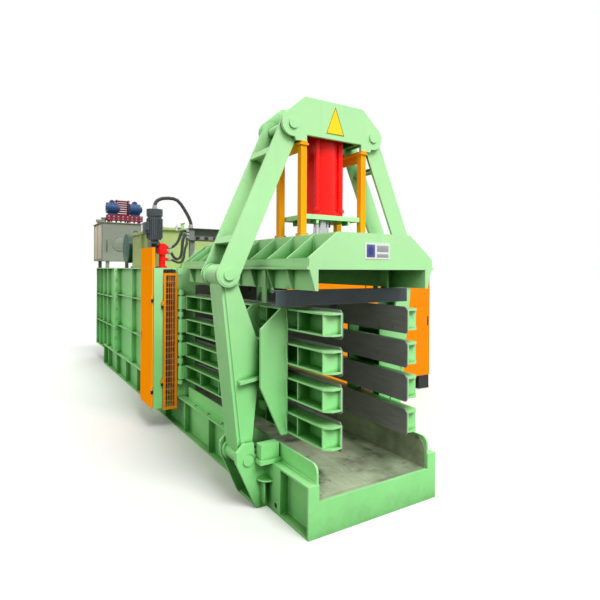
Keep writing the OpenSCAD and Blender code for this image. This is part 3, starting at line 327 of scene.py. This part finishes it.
# %% Paints of the machine
MINT = srgb(146, 228, 144)
ORANGE = srgb(255, 146, 0)
SIGNAL_ORANGE = srgb(255, 150, 10)
RED = srgb(252, 30, 28)
finish = {
    "green": paint("mint_paint", MINT, cloud=0.07, edge=0.75, gloss=0.14, pale_top=srgb(212, 248, 202),
                   recess_shade=srgb(48, 122, 40)),
    "orange": paint("orange_paint", ORANGE, cloud=0.03, edge=0.25, dust=0.20, grime=0.30, gloss=0.12),
    "glowing_signal_orange": paint("glowing_signal_orange", SIGNAL_ORANGE, rough=0.75, cloud=0.03, edge=0.2, dust=0.1,
                           grime=0.25, gloss=0.0, painted_glow=0.28),
    "amber": paint("amber_paint", srgb(255, 172, 0), cloud=0.03, edge=0.25, dust=0.15, grime=0.25,
                   gloss=0.12),
    "red": paint("red_paint", RED, rough=0.24, cloud=0.03, edge=0.12, dust=0.10, grime=0.10, gloss=0.22),
    "black_steel": paint("black_paint", srgb(40, 41, 43), rough=0.50, cloud=0.05, edge=0.15, grime=0.2),
    "grey_steel": paint("grey_paint", srgb(120, 124, 122), rough=0.48, edge=0.25, dust=0.45, grime=0.6),
    "motor_grey": paint("motor_paint", srgb(66, 74, 80), cloud=0.06, edge=0.25, grime=0.3),
    "lime": paint("hopper_paint", srgb(168, 184, 120), rough=0.55, cloud=0.06, edge=0.25, grime=0.5),
    "pale_green": paint("valve_paint", srgb(168, 220, 150), cloud=0.05, edge=0.3),
    "tank_grey": paint("tank_paint", srgb(140, 146, 134), rough=0.55, cloud=0.06, edge=0.25, dust=0.5,
                       grime=0.5),
    "maroon": paint("manifold_paint", srgb(132, 30, 52), rough=0.40, cloud=0.06, edge=0.2),
    "blue": paint("pump_paint", srgb(30, 68, 116), rough=0.38, cloud=0.06, edge=0.25, dust=0.3, grime=0.2),
    "motor_green": paint("main_motor_paint", srgb(24, 74, 56), rough=0.40, cloud=0.06, edge=0.25, grime=0.2),
    "sign_yellow": paint("sign_paint", srgb(252, 224, 24), rough=0.35, cloud=0.03, edge=0.2, dust=0.1,
                         grime=0.1),
    "beam_paint": paint("beam_paint", srgb(74, 82, 92), cloud=0.22, edge=0.30, dust=0.5, grime=0.8),
    "cream": paint("cream_paint", srgb(216, 206, 182), rough=0.50, cloud=0.05, edge=0.2, dust=0.3,
                   grime=0.4),
    "white": paint("white_plate", srgb(232, 234, 236), rough=0.35, cloud=0.02, edge=0.1, dust=0.1,
                   grime=0.1),
    "plate_blue": paint("plate_paint", srgb(52, 66, 132), rough=0.30, cloud=0.03, edge=0.3, dust=0.1,
                        grime=0.1),
    "plate_grey": paint("plate_grey_paint", srgb(150, 158, 160), rough=0.35, cloud=0.03, edge=0.2, dust=0.1,
                        grime=0.1),
}
print("paints", len(finish))

# %% [markdown]
# ## Bare steel, plated rods and rubber
# The channel is lined with bare plate. Paper and film polish it to a dark grey with fine scratches along the
# way of the bale, and dust and oil leave soft stains on the floor. Rods are ground and plated, hoses are
# matt.

# %% Bare steel, plated rods and rubber
STAIN = srgb(134, 134, 122)
OIL = srgb(50, 48, 42)
RUST = srgb(118, 84, 56)


def worn_plate(name, colour, cover, stain=STAIN, oily=0.60):
    """Bare plate. cover is how strongly its clouds stain, and oil shows where the noise is over oily."""
    s = Shader(name)
    scratch = s.noise(9, 6, 0.7, stretch=(5, 0.45, 5))
    clouds = s.noise(1.6, 6, 0.62)
    coat = s.blend(s.ramp(scratch, 0.34, 0.70), darker(colour, 0.82), lighter(colour, 0.06))
    coat = s.blend(s.times(s.ramp(clouds, 0.46, 0.66), cover), coat, stain)
    coat = s.blend(s.times(s.ramp(s.noise(4.5, 5, 0.6), oily, oily + 0.12), 0.75), coat, OIL)
    rust = s.times(s.ramp(s.noise(11, 6, 0.7), 0.62, 0.76), 0.45)
    coat = s.blend(rust, coat, RUST)
    s.link(coat, s.surface.inputs["Base Color"])
    s.surface.inputs["Metallic"].default_value = 0.15
    s.link(s.ramp(scratch, 0.35, 0.7, 0.42, 0.68), s.surface.inputs["Roughness"])
    s.bump(scratch, 0.22, 0.002)
    return s.material


def plated(name):
    s = Shader(name)
    grind = s.noise(30, 3, 0.5)
    s.link(s.blend(grind, srgb(188, 190, 194), srgb(214, 216, 220)), s.surface.inputs["Base Color"])
    s.surface.inputs["Metallic"].default_value = 1.0
    s.link(s.ramp(grind, 0.3, 0.7, 0.16, 0.30), s.surface.inputs["Roughness"])
    return s.material


def rubber(name, colour):
    s = Shader(name)
    weave = s.noise(140, 2, 0.5)
    coat = s.blend(weave, darker(colour, 0.7), lighter(colour, 0.04))
    coat = s.blend(s.times(s.facing_up(), 0.25), coat, DUST)
    s.link(coat, s.surface.inputs["Base Color"])
    s.link(s.ramp(weave, 0.3, 0.7, 0.42, 0.62), s.surface.inputs["Roughness"])
    s.bump(weave, 0.25, 0.001)
    return s.material


finish["worn_steel"] = worn_plate("worn_plate", srgb(122, 126, 124), 0.25)
finish["floor_steel"] = worn_plate("floor_plate", srgb(176, 190, 156), 0.75, stain=srgb(90, 98, 74),
                                   oily=0.55)
finish["bright_steel"] = plated("plated_rod")
finish["hose_rubber"] = rubber("hose_rubber", srgb(30, 30, 32))
finish["black_rubber"] = rubber("black_rubber", srgb(20, 20, 21))
finish["bolt_steel"] = worn_plate("bolt_steel", srgb(150, 152, 150), 0.2)
finish["fitting_steel"] = worn_plate("fitting_steel", srgb(168, 170, 172), 0.1)
print("finishes", len(finish))

# %% [markdown]
# ## Dress the solids
# Each node of the CAD model names a material slot, and each slot has a finish of the same name. A few
# nodes look different from the rest of their slot.

# %% Dress the solids
SPECIAL = {
    "channel_floor": "floor_steel",
    "press_beam": "beam_paint",
    "hinge_pins": "green",
    "joint_bolts": "green",
    "name_plate": "white",
    "guide_posts": "amber",
    "side_cover": "glowing_signal_orange",
    "side_cap": "glowing_signal_orange",
}
for part in frame["record"]["subparts"]:
    shown = frame["nodes"][part["node"]]
    shown.data.materials.clear()
    shown.data.materials.append(finish[SPECIAL.get(part["node"], part["material_slot"])])

# %% [markdown]
# ## Helpers for small parts
# The machine's drawing counts millimetres from the outlet face, so places are easiest to give in that way,
# and one helper turns them into the frame's metres. Blocks, rods and hexagons are the stock that fittings
# are made of: each starts from a bmesh operator and gets a small bevel, because a real edge is never sharp.

# %% Helpers for small parts
AXIS_Y = 790
MM = 0.001
SHARP_FROM = math.radians(38)


def at(x, y, z):
    return Vector((x, y - AXIS_Y, z)) * MM


def lying(start, end):
    """The placing that stands a rod's middle between two ends, with its own Z along them."""
    return Matrix.Translation((start + end) / 2) @ (end - start).to_track_quat("Z", "Y").to_matrix().to_4x4()


def edges_of(corners):
    """Each edge at these corners once, in an order that is the same in each run."""
    return list(dict.fromkeys(e for v in corners for e in v.link_edges))


def soften(mesh, edges, width):
    bmesh.ops.bevel(mesh, geom=edges, offset=width * MM, segments=2, profile=0.5, affect="EDGES",
                    material=-1)


def prism(mesh, start, end, radius, sides):
    """A closed rod between two places, and its corners."""
    made = bmesh.ops.create_cone(mesh, cap_ends=True, segments=sides, radius1=radius * MM,
                                 radius2=radius * MM, depth=(end - start).length, matrix=lying(start, end))
    return made["verts"]


def block(mesh, low, high, soft=1.5):
    low, high = at(*low), at(*high)
    made = bmesh.ops.create_cube(mesh, size=1.0)["verts"]
    bmesh.ops.scale(mesh, vec=high - low, verts=made)
    bmesh.ops.translate(mesh, vec=(low + high) / 2, verts=made)
    soften(mesh, edges_of(made), soft)


def rod(mesh, start, end, radius, sides=24, soft=1.0):
    start, end = at(*start), at(*end)
    made = prism(mesh, start, end, radius, sides)
    if soft:
        rims = [e for e in edges_of(made) if any(len(f.verts) > 4 for f in e.link_faces)]
        soften(mesh, rims, soft)


def along(place, axis, far):
    moved = list(place)
    moved["xyz".index(axis[-1])] += far * (-1 if axis[0] == "-" else 1)
    return tuple(moved)


def hex_bolt(mesh, place, axis, size):
    """A washer and a hexagon head that stand on a face, size being the thread's diameter."""
    rod(mesh, place, along(place, axis, size * 0.18), size * 1.05, 20, soft=0.5)
    for start, end, radius, sides in ((0.18, 0.85, 0.86, 6), (0.8, 1.15, 0.5, 12)):
        rod(mesh, along(place, axis, size * start), along(place, axis, size * end), size * radius, sides,
            soft=size * 0.06)


def ring(count, radius, first=0.0):
    """Offsets of places evenly round a circle, first being the first one's angle in degrees."""
    for k in range(count):
        turn = math.radians(first + 360 / count * k)
        yield radius * math.cos(turn), radius * math.sin(turn)


def make_piece(name, mesh, look, body):
    bmesh.ops.recalc_face_normals(mesh, faces=mesh.faces)
    data = bpy.data.meshes.new(name)
    mesh.to_mesh(data)
    mesh.free()
    data.shade_smooth()
    data.set_sharp_from_angle(angle=SHARP_FROM)
    data.materials.append(finish[look])
    made = bpy.data.objects.new(name, data)
    scene.collection.objects.link(made)
    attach(made, body)
    print(name, len(data.polygons), "faces")


# %% [markdown]
# ## Weld beads
# Everything green is welded plate, and the fillets show as pale ripples in the corners. A bead is a thin
# hexagonal rod that is cut into short lengths, with every second ring drawn in. All beads of one body make
# one piece. Those of the fixed frame run down the ribs and along the flanges of base and body.

# %% Weld beads
RIPPLE = 20 * MM
SHORTEST_BEAD = 20 * MM
MOST_RINGS = 160
THIN, USUAL, THICK = 4, 5, 6
seams = {}


def seam(body, start, end, thick):
    seams.setdefault(body, []).append((start, end, thick))


def bead(mesh, start, end, thick):
    start, end = at(*start), at(*end)
    way = end - start
    if way.length < SHORTEST_BEAD:
        return
    made = prism(mesh, start, end, thick, 6)
    step = way.normalized()
    lengthwise = [e for e in edges_of(made)
                  if abs((e.verts[0].co - e.verts[1].co).dot(step)) > way.length * 0.9]
    cuts = min(MOST_RINGS, max(2, int(way.length / RIPPLE)))
    for v in bmesh.ops.subdivide_edges(mesh, edges=lengthwise, cuts=cuts)["geom_inner"]:
        if isinstance(v, bmesh.types.BMVert):
            far = (v.co - start).dot(step)
            centre = start + step * far
            drawn_in = round(far / way.length * (cuts + 1)) % 2
            v.co = centre + (v.co - centre) * (0.72 if drawn_in else 1.12)


# %% Seams on the fixed frame
BASE_WEB, BASE_FOOT, UNDER_FLANGE, FLANGE_TOP = 566, 16, 363, 380
BASE_RIBS = [400 + 745 * k for k in range(10)]
BASE_END, CHANNEL_END = 7520, 2700
BODY_RIBS = (3540, 4618, 5235, 6483, 7242, 7678, 8053)
BODY_FRONT, BODY_JOINT, BODY_END, BODY_FOOT, BODY_TOP = 2902, 6318, 8400, 391, 1927
REAR_FOOT = 322
RIB = 12
UNDER_TOP = BODY_TOP - 16

for side in (-1, 1):
    web = side * (BASE_WEB + 1)
    # ribs of the base with their feet
    for y in [20] + BASE_RIBS:
        seam("machine", (web, y, BASE_FOOT), (web, y, UNDER_FLANGE), USUAL)
        if y in BASE_RIBS:
            seam("machine", (web, y + RIB, BASE_FOOT), (web, y + RIB, UNDER_FLANGE), USUAL)
            seam("machine", (side * 570, y, BASE_FOOT + 1), (side * 638, y, BASE_FOOT + 1), USUAL)
    # flanges of the base and edges of the channel floor
    seam("machine", (web, 20, BASE_FOOT + 1), (web, BASE_END, BASE_FOOT + 1), USUAL)
    seam("machine", (web, 12, FLANGE_TOP), (web, CHANNEL_END, FLANGE_TOP), THICK)
    seam("machine", (side * 549, 22, 258), (side * 549, CHANNEL_END - 10, 258), THICK)
    # ribs and joint flanges of the body
    for y in BODY_RIBS:
        foot = BODY_FOOT if y < BASE_END else REAR_FOOT
        seam("machine", (web, y, foot), (web, y, UNDER_TOP), USUAL)
        seam("machine", (web, y + RIB, foot), (web, y + RIB, UNDER_TOP), USUAL)
    for y in (2900, 6320, 6360):
        seam("machine", (web, y, 410), (web, y, UNDER_TOP), USUAL)
    # long stiffeners of the body, before and behind the joint
    for z in (1452, 897):
        for start, end in ((BODY_FRONT, 2998), (3222, BODY_JOINT)):
            seam("machine", (web, start, z), (web, end, z), THIN)
    for z in (1384, 836):
        seam("machine", (web, 6362, z), (web, BODY_END, z), THIN)
    seam("machine", (web, BODY_FRONT, BODY_FOOT), (web, BODY_JOINT, BODY_FOOT), USUAL)
    # ears of the lower pins
    for y in (612, 642, 938, 968):
        seam("machine", (side * 643, y, 20), (side * 643, y, 372), THICK)
    seam("machine", (side * 732, 600, 246), (side * 645, 600, 246), THIN)
# foot of the tying station
for y in (2991, 3362):
    seam("machine", (-868, y, 277), (-700, y, 277), THIN)
print("seams on the fixed frame", len(seams["machine"]))

# %% [markdown]
# ## Seams that move
# The side walls stand toed in, and the arms and links lean. Their seams are given in the plate's own upright
# position and turned with it, about the hinge of the wall or the pin of the arm.

# %% Seams that move
HINGE_X, HINGE_Y, TOE = 620, 2840, math.radians(2.0)
LOWER_PIN, ELBOW, UPPER_PIN = (816, 404), (986, 1875), (430, 3134)
ARM_LEAN = math.atan2(ELBOW[0] - LOWER_PIN[0], ELBOW[1] - LOWER_PIN[1])
LINK_LEAN = math.atan2(ELBOW[0] - UPPER_PIN[0], UPPER_PIN[1] - ELBOW[1])
LINK_LENGTH = math.hypot(ELBOW[0] - UPPER_PIN[0], UPPER_PIN[1] - ELBOW[1])
FINGER_TOP, FINGER_PITCH, FINGER_H = 1598, 279, 172
FINGER_WEB = -446


def toed(side, x, y, z):
    """A place on the left wall as drawn upright, turned to its toe and mirrored for the right wall."""
    dx, dy = x + HINGE_X, y - HINGE_Y
    turned_x = -HINGE_X + dx * math.cos(TOE) - dy * math.sin(TOE)
    turned_y = HINGE_Y + dx * math.sin(TOE) + dy * math.cos(TOE)
    return (-side * turned_x, turned_y, z)


def leaning(side, pin, lean, x, y, z):
    """A place on an arm or link as drawn upright over its lower pin."""
    return (side * (pin[0] - x * math.cos(lean) + z * math.sin(lean)), y,
            pin[1] + x * math.sin(lean) + z * math.cos(lean))


for side, name in ((-1, "left"), (1, "right")):
    wall, arm, link = "wall_" + name, "arm_" + name, "link_" + name
    # channel fingers and the strongbacks across them
    for k in range(4):
        top = FINGER_TOP - k * FINGER_PITCH
        for z in (top - 15, top - FINGER_H + 15):
            seam(wall, toed(side, FINGER_WEB, 80, z), toed(side, FINGER_WEB, 2778, z), THIN)
        for y in [66] + [400 + 490 * n for n in range(5)]:
            seam(wall, toed(side, FINGER_WEB, y, top - 156), toed(side, FINGER_WEB, y, top - 16), THIN)
        for y in (540, 565, 1015, 1040):
            seam(wall, toed(side, -576, y, top - FINGER_H + 2), toed(side, -590, y, top - 2), USUAL)
    # flanges of the arm, and rings of the link near its pins
    for y in (672, 908):
        foot, head = (leaning(side, LOWER_PIN, ARM_LEAN, -24, y, far) for far in (70, 1350))
        seam(arm, foot, head, USUAL)
    for z in (240, 300, LINK_LENGTH - 330, LINK_LENGTH - 270):
        for y in (643, 937):
            outer, inner = (leaning(side, ELBOW, -LINK_LEAN, x, y, z) for x in (-92, -68))
            seam(link, outer, inner, USUAL)
    # ribs and long edges of the platen
    for y in range(344, 2621, 312):
        for edge in (y, y + RIB):
            seam("platen", (side * 381, edge, 1941), (side * 622, edge, 1941), USUAL)
            seam("platen", (side * 381, edge, 1945), (side * 381, edge, 2180), USUAL)
            seam("platen", (side * 624, edge, 1919), (side * 575, edge, 1775), THIN)
    seam("platen", (side * 381, 58, 1941), (side * 381, 2700, 1941), USUAL)
    seam("platen", (side * 596, 60, 1919), (side * 596, 2690, 1919), THIN)
    # cheeks and top of the yoke
    for y in (607, 973):
        seam("yoke", (side * 296, y, 3062), (side * 296, y, 3265), USUAL)
        seam("yoke", (side * 4, y, 3309), (side * 268, y, 3309), USUAL)
for body, runs in seams.items():
    weld = bmesh.new()
    for start, end, thick in runs:
        bead(weld, start, end, thick)
    make_piece("welds_" + body, weld, "green", body)

# %% [markdown]
# ## Twister station
# On the left stands the tying station. The hoses of its drive end in pressed ferrules with hexagon nuts.
# Behind the mesh door the twisters sit in a black shroud, and the slots in the orange covers show black
# latches.

# %% Hose ends and shroud
DRIVE_X, DRIVE_Y = -668, 3192
BLOCK_X, BLOCK_Y, BLOCK_Z = -402, 3190, BODY_TOP + 433
MOTOR_X = -844
SLOT_Y = 3110
KNOT_Z = FINGER_TOP + FINGER_PITCH / 2 - 85

fittings = bmesh.new()
for z in (BODY_TOP + 262, BODY_TOP + 200, BODY_TOP + 110):
    rod(fittings, (DRIVE_X - 8, DRIVE_Y, z), (DRIVE_X + 14, DRIVE_Y, z), 27, 6)
    rod(fittings, (DRIVE_X + 13, DRIVE_Y, z), (DRIVE_X + 34, DRIVE_Y, z), 21)
for z in (BLOCK_Z + 42, BLOCK_Z, BLOCK_Z - 42):
    rod(fittings, (BLOCK_X - 18, BLOCK_Y, z), (BLOCK_X + 2, BLOCK_Y, z), 24, 6)
    rod(fittings, (BLOCK_X - 38, BLOCK_Y, z), (BLOCK_X - 17, BLOCK_Y, z), 20)
for x, y, z in ((MOTOR_X, DRIVE_Y, 2651), (-372, 3210, 2438)):
    rod(fittings, (x, y, z), (x, y, z + 24), 32, 6)
    rod(fittings, (x, y, z + 23), (x, y, z + 52), 26)
make_piece("hose_fittings", fittings, "fitting_steel", "machine")

shroud = bmesh.new()
# A thin black strip along the top of the mesh guard.
block(shroud, (-812, 2894, 1880), (-700, 2902, 1912), 1)
block(shroud, (-700, 3054, 482), (-668, 3060.5, 1733), 1)
for k in range(5):
    z = KNOT_Z - FINGER_PITCH * k
    rod(shroud, (-786, SLOT_Y, z), (-796, SLOT_Y, z), 34, 24)
    rod(shroud, (-795, SLOT_Y, z), (-799, SLOT_Y, z), 15, 6)
make_piece("twister_shroud", shroud, "black_steel", "machine")

# %% Latches and screws
COVER_X = -943.5
GUARD_Y = 2870.5

cover_latch = bmesh.new()
block(cover_latch, (-940.5, 3366, 1004), (-935, 3412, 1156), 1)
block(cover_latch, (-944, 3378, 1040), (-938, 3400, 1120), 1.5)
make_piece("cover_latch", cover_latch, "black_steel", "side_cover")
for body, x in (("house_door_a", 2073), ("house_door_b", 3438)):
    latch = bmesh.new()
    block(latch, (x - 6, 2703.5, 1009), (x + 36, 2709, 1171), 1)
    block(latch, (x + 7, 2699, 1050), (x + 23, 2705, 1130), 1.5)
    make_piece("latch_" + body[-1], latch, "black_steel", body)

guard_screws = bmesh.new()
for z in (300, 820, 1340, 1810):
    for x in (-805, -667):
        rod(guard_screws, (x, GUARD_Y, z), (x, GUARD_Y - 3.5, z), 6, 12)
make_piece("guard_screws", guard_screws, "bolt_steel", "mesh_guard")

cover_screws = bmesh.new()
for y in (2936, 3110, 3284, 3420):
    for z in (284, 1912):
        rod(cover_screws, (COVER_X, y, z), (COVER_X - 3.5, y, z), 7, 12)
make_piece("cover_screws", cover_screws, "bolt_steel", "side_cover")

# %% Twister motor and hand valve
VALVE_Y, VALVE_Z = 3250, 2447

motor = bmesh.new()
for z in range(2575, 2636, 20):
    rod(motor, (MOTOR_X, DRIVE_Y, z), (MOTOR_X, DRIVE_Y, z + 5), 99, 40)
block(motor, (-980, 3138, 2363), (-973, 3246, 2481), 2)
for y in (3146, 3238):
    for z in (2371, 2473):
        rod(motor, (-979, y, z), (-984, y, z), 5, 12, soft=0.8)
rod(motor, (-950, 3130, 2400), (-950, 3105, 2400), 14, 16)
for dx, dy in ring(4, 74, 45):
    rod(motor, (MOTOR_X + dx, DRIVE_Y + dy, 2276), (MOTOR_X + dx, DRIVE_Y + dy, 2292), 9, 6)
make_piece("twister_motor_trim", motor, "motor_grey", "machine")

valve = bmesh.new()
rod(valve, (-523, VALVE_Y, VALVE_Z), (-519, VALVE_Y, VALVE_Z), 30, 24)
rod(valve, (-535, VALVE_Y, VALVE_Z), (-522, VALVE_Y, VALVE_Z), 9, 16)
rod(valve, (-545, VALVE_Y, VALVE_Z), (-534, VALVE_Y, VALVE_Z), 42, 32, soft=3)
for z in (2360, 2497):
    rod(valve, (-470, VALVE_Y, z), (-470, VALVE_Y, z + 12), 32, 6)
make_piece("hand_valve", valve, "bright_steel", "machine")
print("twister station done")

# %% [markdown]
# ## Press head
# The sign is a plain triangle with a raised rim and the name plate a plain field on a white ground, because
# this library has no print on its parts. The cylinder's end blocks are drawn together by nuts, and bolts
# hold the posts.

# %% Sign and name plate
SIGN_CORNERS = ((-92, 3104), (92, 3104), (0, 3338))
PLATE_Y = 28

rim = bmesh.new()
for k, (x, z) in enumerate(SIGN_CORNERS):
    next_x, next_z = SIGN_CORNERS[(k + 1) % 3]
    rod(rim, (x, 575, z), (next_x, 575, next_z), 2.2, 10, soft=0)
make_piece("sign_rim", rim, "black_steel", "yoke")

field = bmesh.new()
block(field, (-98, PLATE_Y, 2016), (-14, PLATE_Y + 1.5, 2116), 0.5)
make_piece("plate_field", field, "plate_blue", "platen")

plain_field = bmesh.new()
block(plain_field, (6, PLATE_Y, 2060), (126, PLATE_Y + 1.5, 2110), 0.5)
block(plain_field, (6, PLATE_Y, 2016), (126, PLATE_Y + 1.5, 2044), 0.5)
make_piece("plate_plain_field", plain_field, "plate_grey", "platen")

# %% Nuts and bolts of the press head
BARREL_FOOT = 2431

barrel_nuts = bmesh.new()
for x in (-128, 128):
    for y in (AXIS_Y - 118, AXIS_Y + 118):
        for z in (BARREL_FOOT, 3178):
            rod(barrel_nuts, (x, y, z), (x, y, z + 31), 36, 6, soft=2)
for dx, dy in ring(12, 156, 15):
    rod(barrel_nuts, (dx, AXIS_Y + dy, BARREL_FOOT), (dx, AXIS_Y + dy, BARREL_FOOT + 9), 6, 12)
make_piece("barrel_nuts", barrel_nuts, "red", "yoke")

yoke_bolts = bmesh.new()
for x in (-240, -120, 120, 240):
    for y in (650, 930):
        hex_bolt(yoke_bolts, (x, y, 3308), "z", 20)
make_piece("yoke_bolts", yoke_bolts, "green", "yoke")

post_bolts = bmesh.new()
for side in (-1, 1):
    for y in (608, 972):
        for dx, dy in ((-32, -32), (32, -32), (-32, 32), (32, 32)):
            hex_bolt(post_bolts, (side * 322 + dx, y + dy, 2215.5), "z", 9)
make_piece("post_bolts", post_bolts, "bolt_steel", "platen")

# %% [markdown]
# ## Channel and base
# Thin wear plates lie on the channel floor, and hinges and flanges are closed with hexagon bolts.

# %% Channel and base
WEAR_TOP = 260.5

wear = bmesh.new()
for start, end in ((62, 1300), (1304, 2660)):
    block(wear, (-478, start, 257.0), (478, end, WEAR_TOP), 0.6)
for x in (-430, 0, 430):
    for y in (*range(110, 1300, 230), *range(1350, 2650, 230)):
        rod(wear, (x, y, WEAR_TOP - 0.3), (x, y, WEAR_TOP + 0.7), 14, 20, soft=0.4)
make_piece("floor_wear_plates", wear, "floor_steel", "machine")

frame_bolts = bmesh.new()
for side in (-1, 1):
    for y in range(520, 2700, 372):
        hex_bolt(frame_bolts, (side * 606, max(y, 700), 379), "z", 16)
    for z in range(620, 1920, 175):
        hex_bolt(frame_bolts, (side * 625, 2880, z), "-y", 14)
    for z in (460, 560):
        hex_bolt(frame_bolts, (side * 600, 2880, z), "-y", 14)
make_piece("frame_bolts", frame_bolts, "green", "machine")
print("channel and base done")

# %% [markdown]
# ## Power pack
# The tank has a bolted manhole, a level gauge, a filler and a breather. The manifold is drilled and plugged
# along its front, the oil cooler is a stack of plates, and the motors have ribs, terminal boxes and lifting
# eyes.

# %% Oil tank
TANK_X, TANK_FOOT, TANK_TOP = -700, 2069, 2834
LID_TOP = 2845
MANHOLE_X, MANHOLE_Y, MANHOLE_Z = -360, 7408, 2429

tank = bmesh.new()
for dx, dz in ring(16, 142):
    hex_bolt(tank, (MANHOLE_X + dx, MANHOLE_Y, MANHOLE_Z + dz), "-y", 11)
rod(tank, (MANHOLE_X, MANHOLE_Y, MANHOLE_Z), (MANHOLE_X, MANHOLE_Y - 6, MANHOLE_Z), 118, 48, soft=3)
block(tank, (-400, 7396, 2424), (-320, 7403, 2434), 2)
block(tank, (-640, 7410, 2250), (-600, 7421, 2520), 3)
rod(tank, (-640, 7640, LID_TOP), (-640, 7640, LID_TOP + 80), 42, 32, soft=3)
rod(tank, (-640, 7640, LID_TOP + 79), (-640, 7640, LID_TOP + 111), 54, 32, soft=5)
rod(tank, (-640, 8200, LID_TOP), (-640, 8200, LID_TOP + 55), 30)
rod(tank, (-640, 8200, LID_TOP + 54), (-640, 8200, LID_TOP + 115), 56, 32, soft=8)
for y in (7470, 7940, 8330):
    block(tank, (TANK_X - 8, y, TANK_FOOT), (TANK_X + 1, y + 10, TANK_TOP), 1)
make_piece("tank_trim", tank, "tank_grey", "machine")

panels = bmesh.new()
for start, end in ((7500, 7920), (7960, 8310)):
    block(panels, (TANK_X - 6, start, 2110), (TANK_X + 0.5, end, 2800), 3)
for z in (2200, 2700):
    rod(panels, (TANK_X - 8, 7494, z - 30), (TANK_X - 8, 7494, z + 30), 7, 16)
make_piece("tank_panels", panels, "cream", "machine")

gauge = bmesh.new()
block(gauge, (-628, 7407, 2275), (-612, 7411, 2495), 1)
make_piece("level_gauge", gauge, "black_rubber", "machine")

# %% Manifold, pumps and cooler
MANIFOLD_Y = 7516.5
PUMP_Y, PUMP_Z = 7580, 3151

plugs = bmesh.new()
for x in range(-560, 71, 90):
    rod(plugs, (x, MANIFOLD_Y, 2975), (x, MANIFOLD_Y - 11.5, 2975), 18, 6)
    rod(plugs, (x, MANIFOLD_Y, 2925), (x, MANIFOLD_Y - 6.5, 2925), 13)
for x in (-455, -5):
    rod(plugs, (x, PUMP_Y, 3011), (x, PUMP_Y, 3026), 16, 6)
make_piece("manifold_plugs", plugs, "bolt_steel", "machine")

pumps = bmesh.new()
for x in (-600, -150):
    for rib in range(x + 40, x + 171, 26):
        rod(pumps, (rib, PUMP_Y, PUMP_Z), (rib + 7, PUMP_Y, PUMP_Z), 116, 48)
    for dy, dz in ring(8, 92, 22.5):
        rod(pumps, (x + 0.5, PUMP_Y + dy, PUMP_Z + dz), (x - 9, PUMP_Y + dy, PUMP_Z + dz), 9, 6)
    rod(pumps, (x + 0.5, PUMP_Y, PUMP_Z), (x - 14, PUMP_Y, PUMP_Z), 44, 32, soft=3)
    rod(pumps, (x + 105, PUMP_Y, 3300), (x + 105, PUMP_Y, 3318), 24, 6)
make_piece("pump_trim", pumps, "blue", "machine")

cooler = bmesh.new()
for z in range(2990, 3313, 46):
    block(cooler, (-400, 7700, z), (-112, 7830, z + 24), 3)
for x in (-372, -140):
    for y in (7720, 7810):
        rod(cooler, (x, y, 2846.3), (x, y, 3352), 10, 16)
make_piece("oil_cooler", cooler, "maroon", "machine")

# %% Main motor and pump
MOTOR_Y, MOTOR_Z = 6420, 2287
EYE_Z = 2588

motor_trim = bmesh.new()
for k in range(7):
    cowl_x = -474 - 1.5 * k
    rod(motor_trim, (-470.5, MOTOR_Y, MOTOR_Z), (cowl_x, MOTOR_Y, MOTOR_Z), 232 - 34 * k, 56, soft=1.2)
for x in (-440, -400):
    rod(motor_trim, (x, MOTOR_Y, MOTOR_Z), (x + 8, MOTOR_Y, MOTOR_Z), 270.5, 64, soft=1.5)
block(motor_trim, (-206, 6112, 2341), (16, 6121, 2493), 3)
for x in (-194, 4):
    for z in (2353, 2481):
        rod(motor_trim, (x, 6113, z), (x, 6107, z), 7, 6)
for x in (-150, -90, -30):
    rod(motor_trim, (x, 6160, 2348), (x, 6160, 2318), 17, 6)
for x in (-300, 100):
    rod(motor_trim, (x, MOTOR_Y, 2520), (x, MOTOR_Y, 2560), 14, 16)
    corners = [(x + dx, MOTOR_Y, EYE_Z + dz) for dx, dz in ring(12, 30)]
    for k, corner in enumerate(corners):
        rod(motor_trim, corner, corners[(k + 1) % 12], 9, 10, soft=0)
make_piece("main_motor_trim", motor_trim, "motor_green", "machine")

pump_bolts = bmesh.new()
for dy, dz in ring(8, 112, 22.5):
    rod(pump_bolts, (319.5, MOTOR_Y + dy, MOTOR_Z + dz), (333, MOTOR_Y + dy, MOTOR_Z + dz), 12, 6)
for start, end in ((6255, 6271), (6585, 6569)):
    rod(pump_bolts, (460, start, MOTOR_Z), (460, end, MOTOR_Z), 54, 8)
make_piece("pump_bolts", pump_bolts, "bolt_steel", "machine")

# %% [markdown]
# ## Hopper and cross beam
# Bolts join the plates of the hopper. The cross beam carries two dark strips and a pale rail with black
# clamps.

# %% Hopper and cross beam
BEAM_Y = 3148

hopper = bmesh.new()
for side in (-1, 1):
    for y in range(4280, 5980, 170):
        hex_bolt(hopper, (side * 470, y, 2520), "z", 12)
    for y in range(4240, 5980, 220):
        hex_bolt(hopper, (side * 450, y, 1960), "x" if side > 0 else "-x", 12)
for x in range(-440, 441, 176):
    hex_bolt(hopper, (x, 4180, 2520), "z", 12)
make_piece("hopper_bolts", hopper, "lime", "machine")

strips = bmesh.new()
for foot, top in ((2425, 2441.5), (2279, 2290)):
    block(strips, (-411.5, BEAM_Y, foot), (411.5, BEAM_Y + 3, top), 1)
make_piece("beam_strips", strips, "black_steel", "machine")

rail = bmesh.new()
block(rail, (-320, 3222, 2300), (390, 3236, 2346), 2)
make_piece("beam_rail", rail, "tank_grey", "machine")

clamps = bmesh.new()
for x in range(-278, 333, 122):
    block(clamps, (x - 22, 3196, 2306), (x + 22, 3223, 2340), 3)
    rod(clamps, (x, 3197, 2323), (x, 3189, 2323), 7, 6)
make_piece("beam_clamps", clamps, "black_steel", "machine")
print("hopper and beam done")
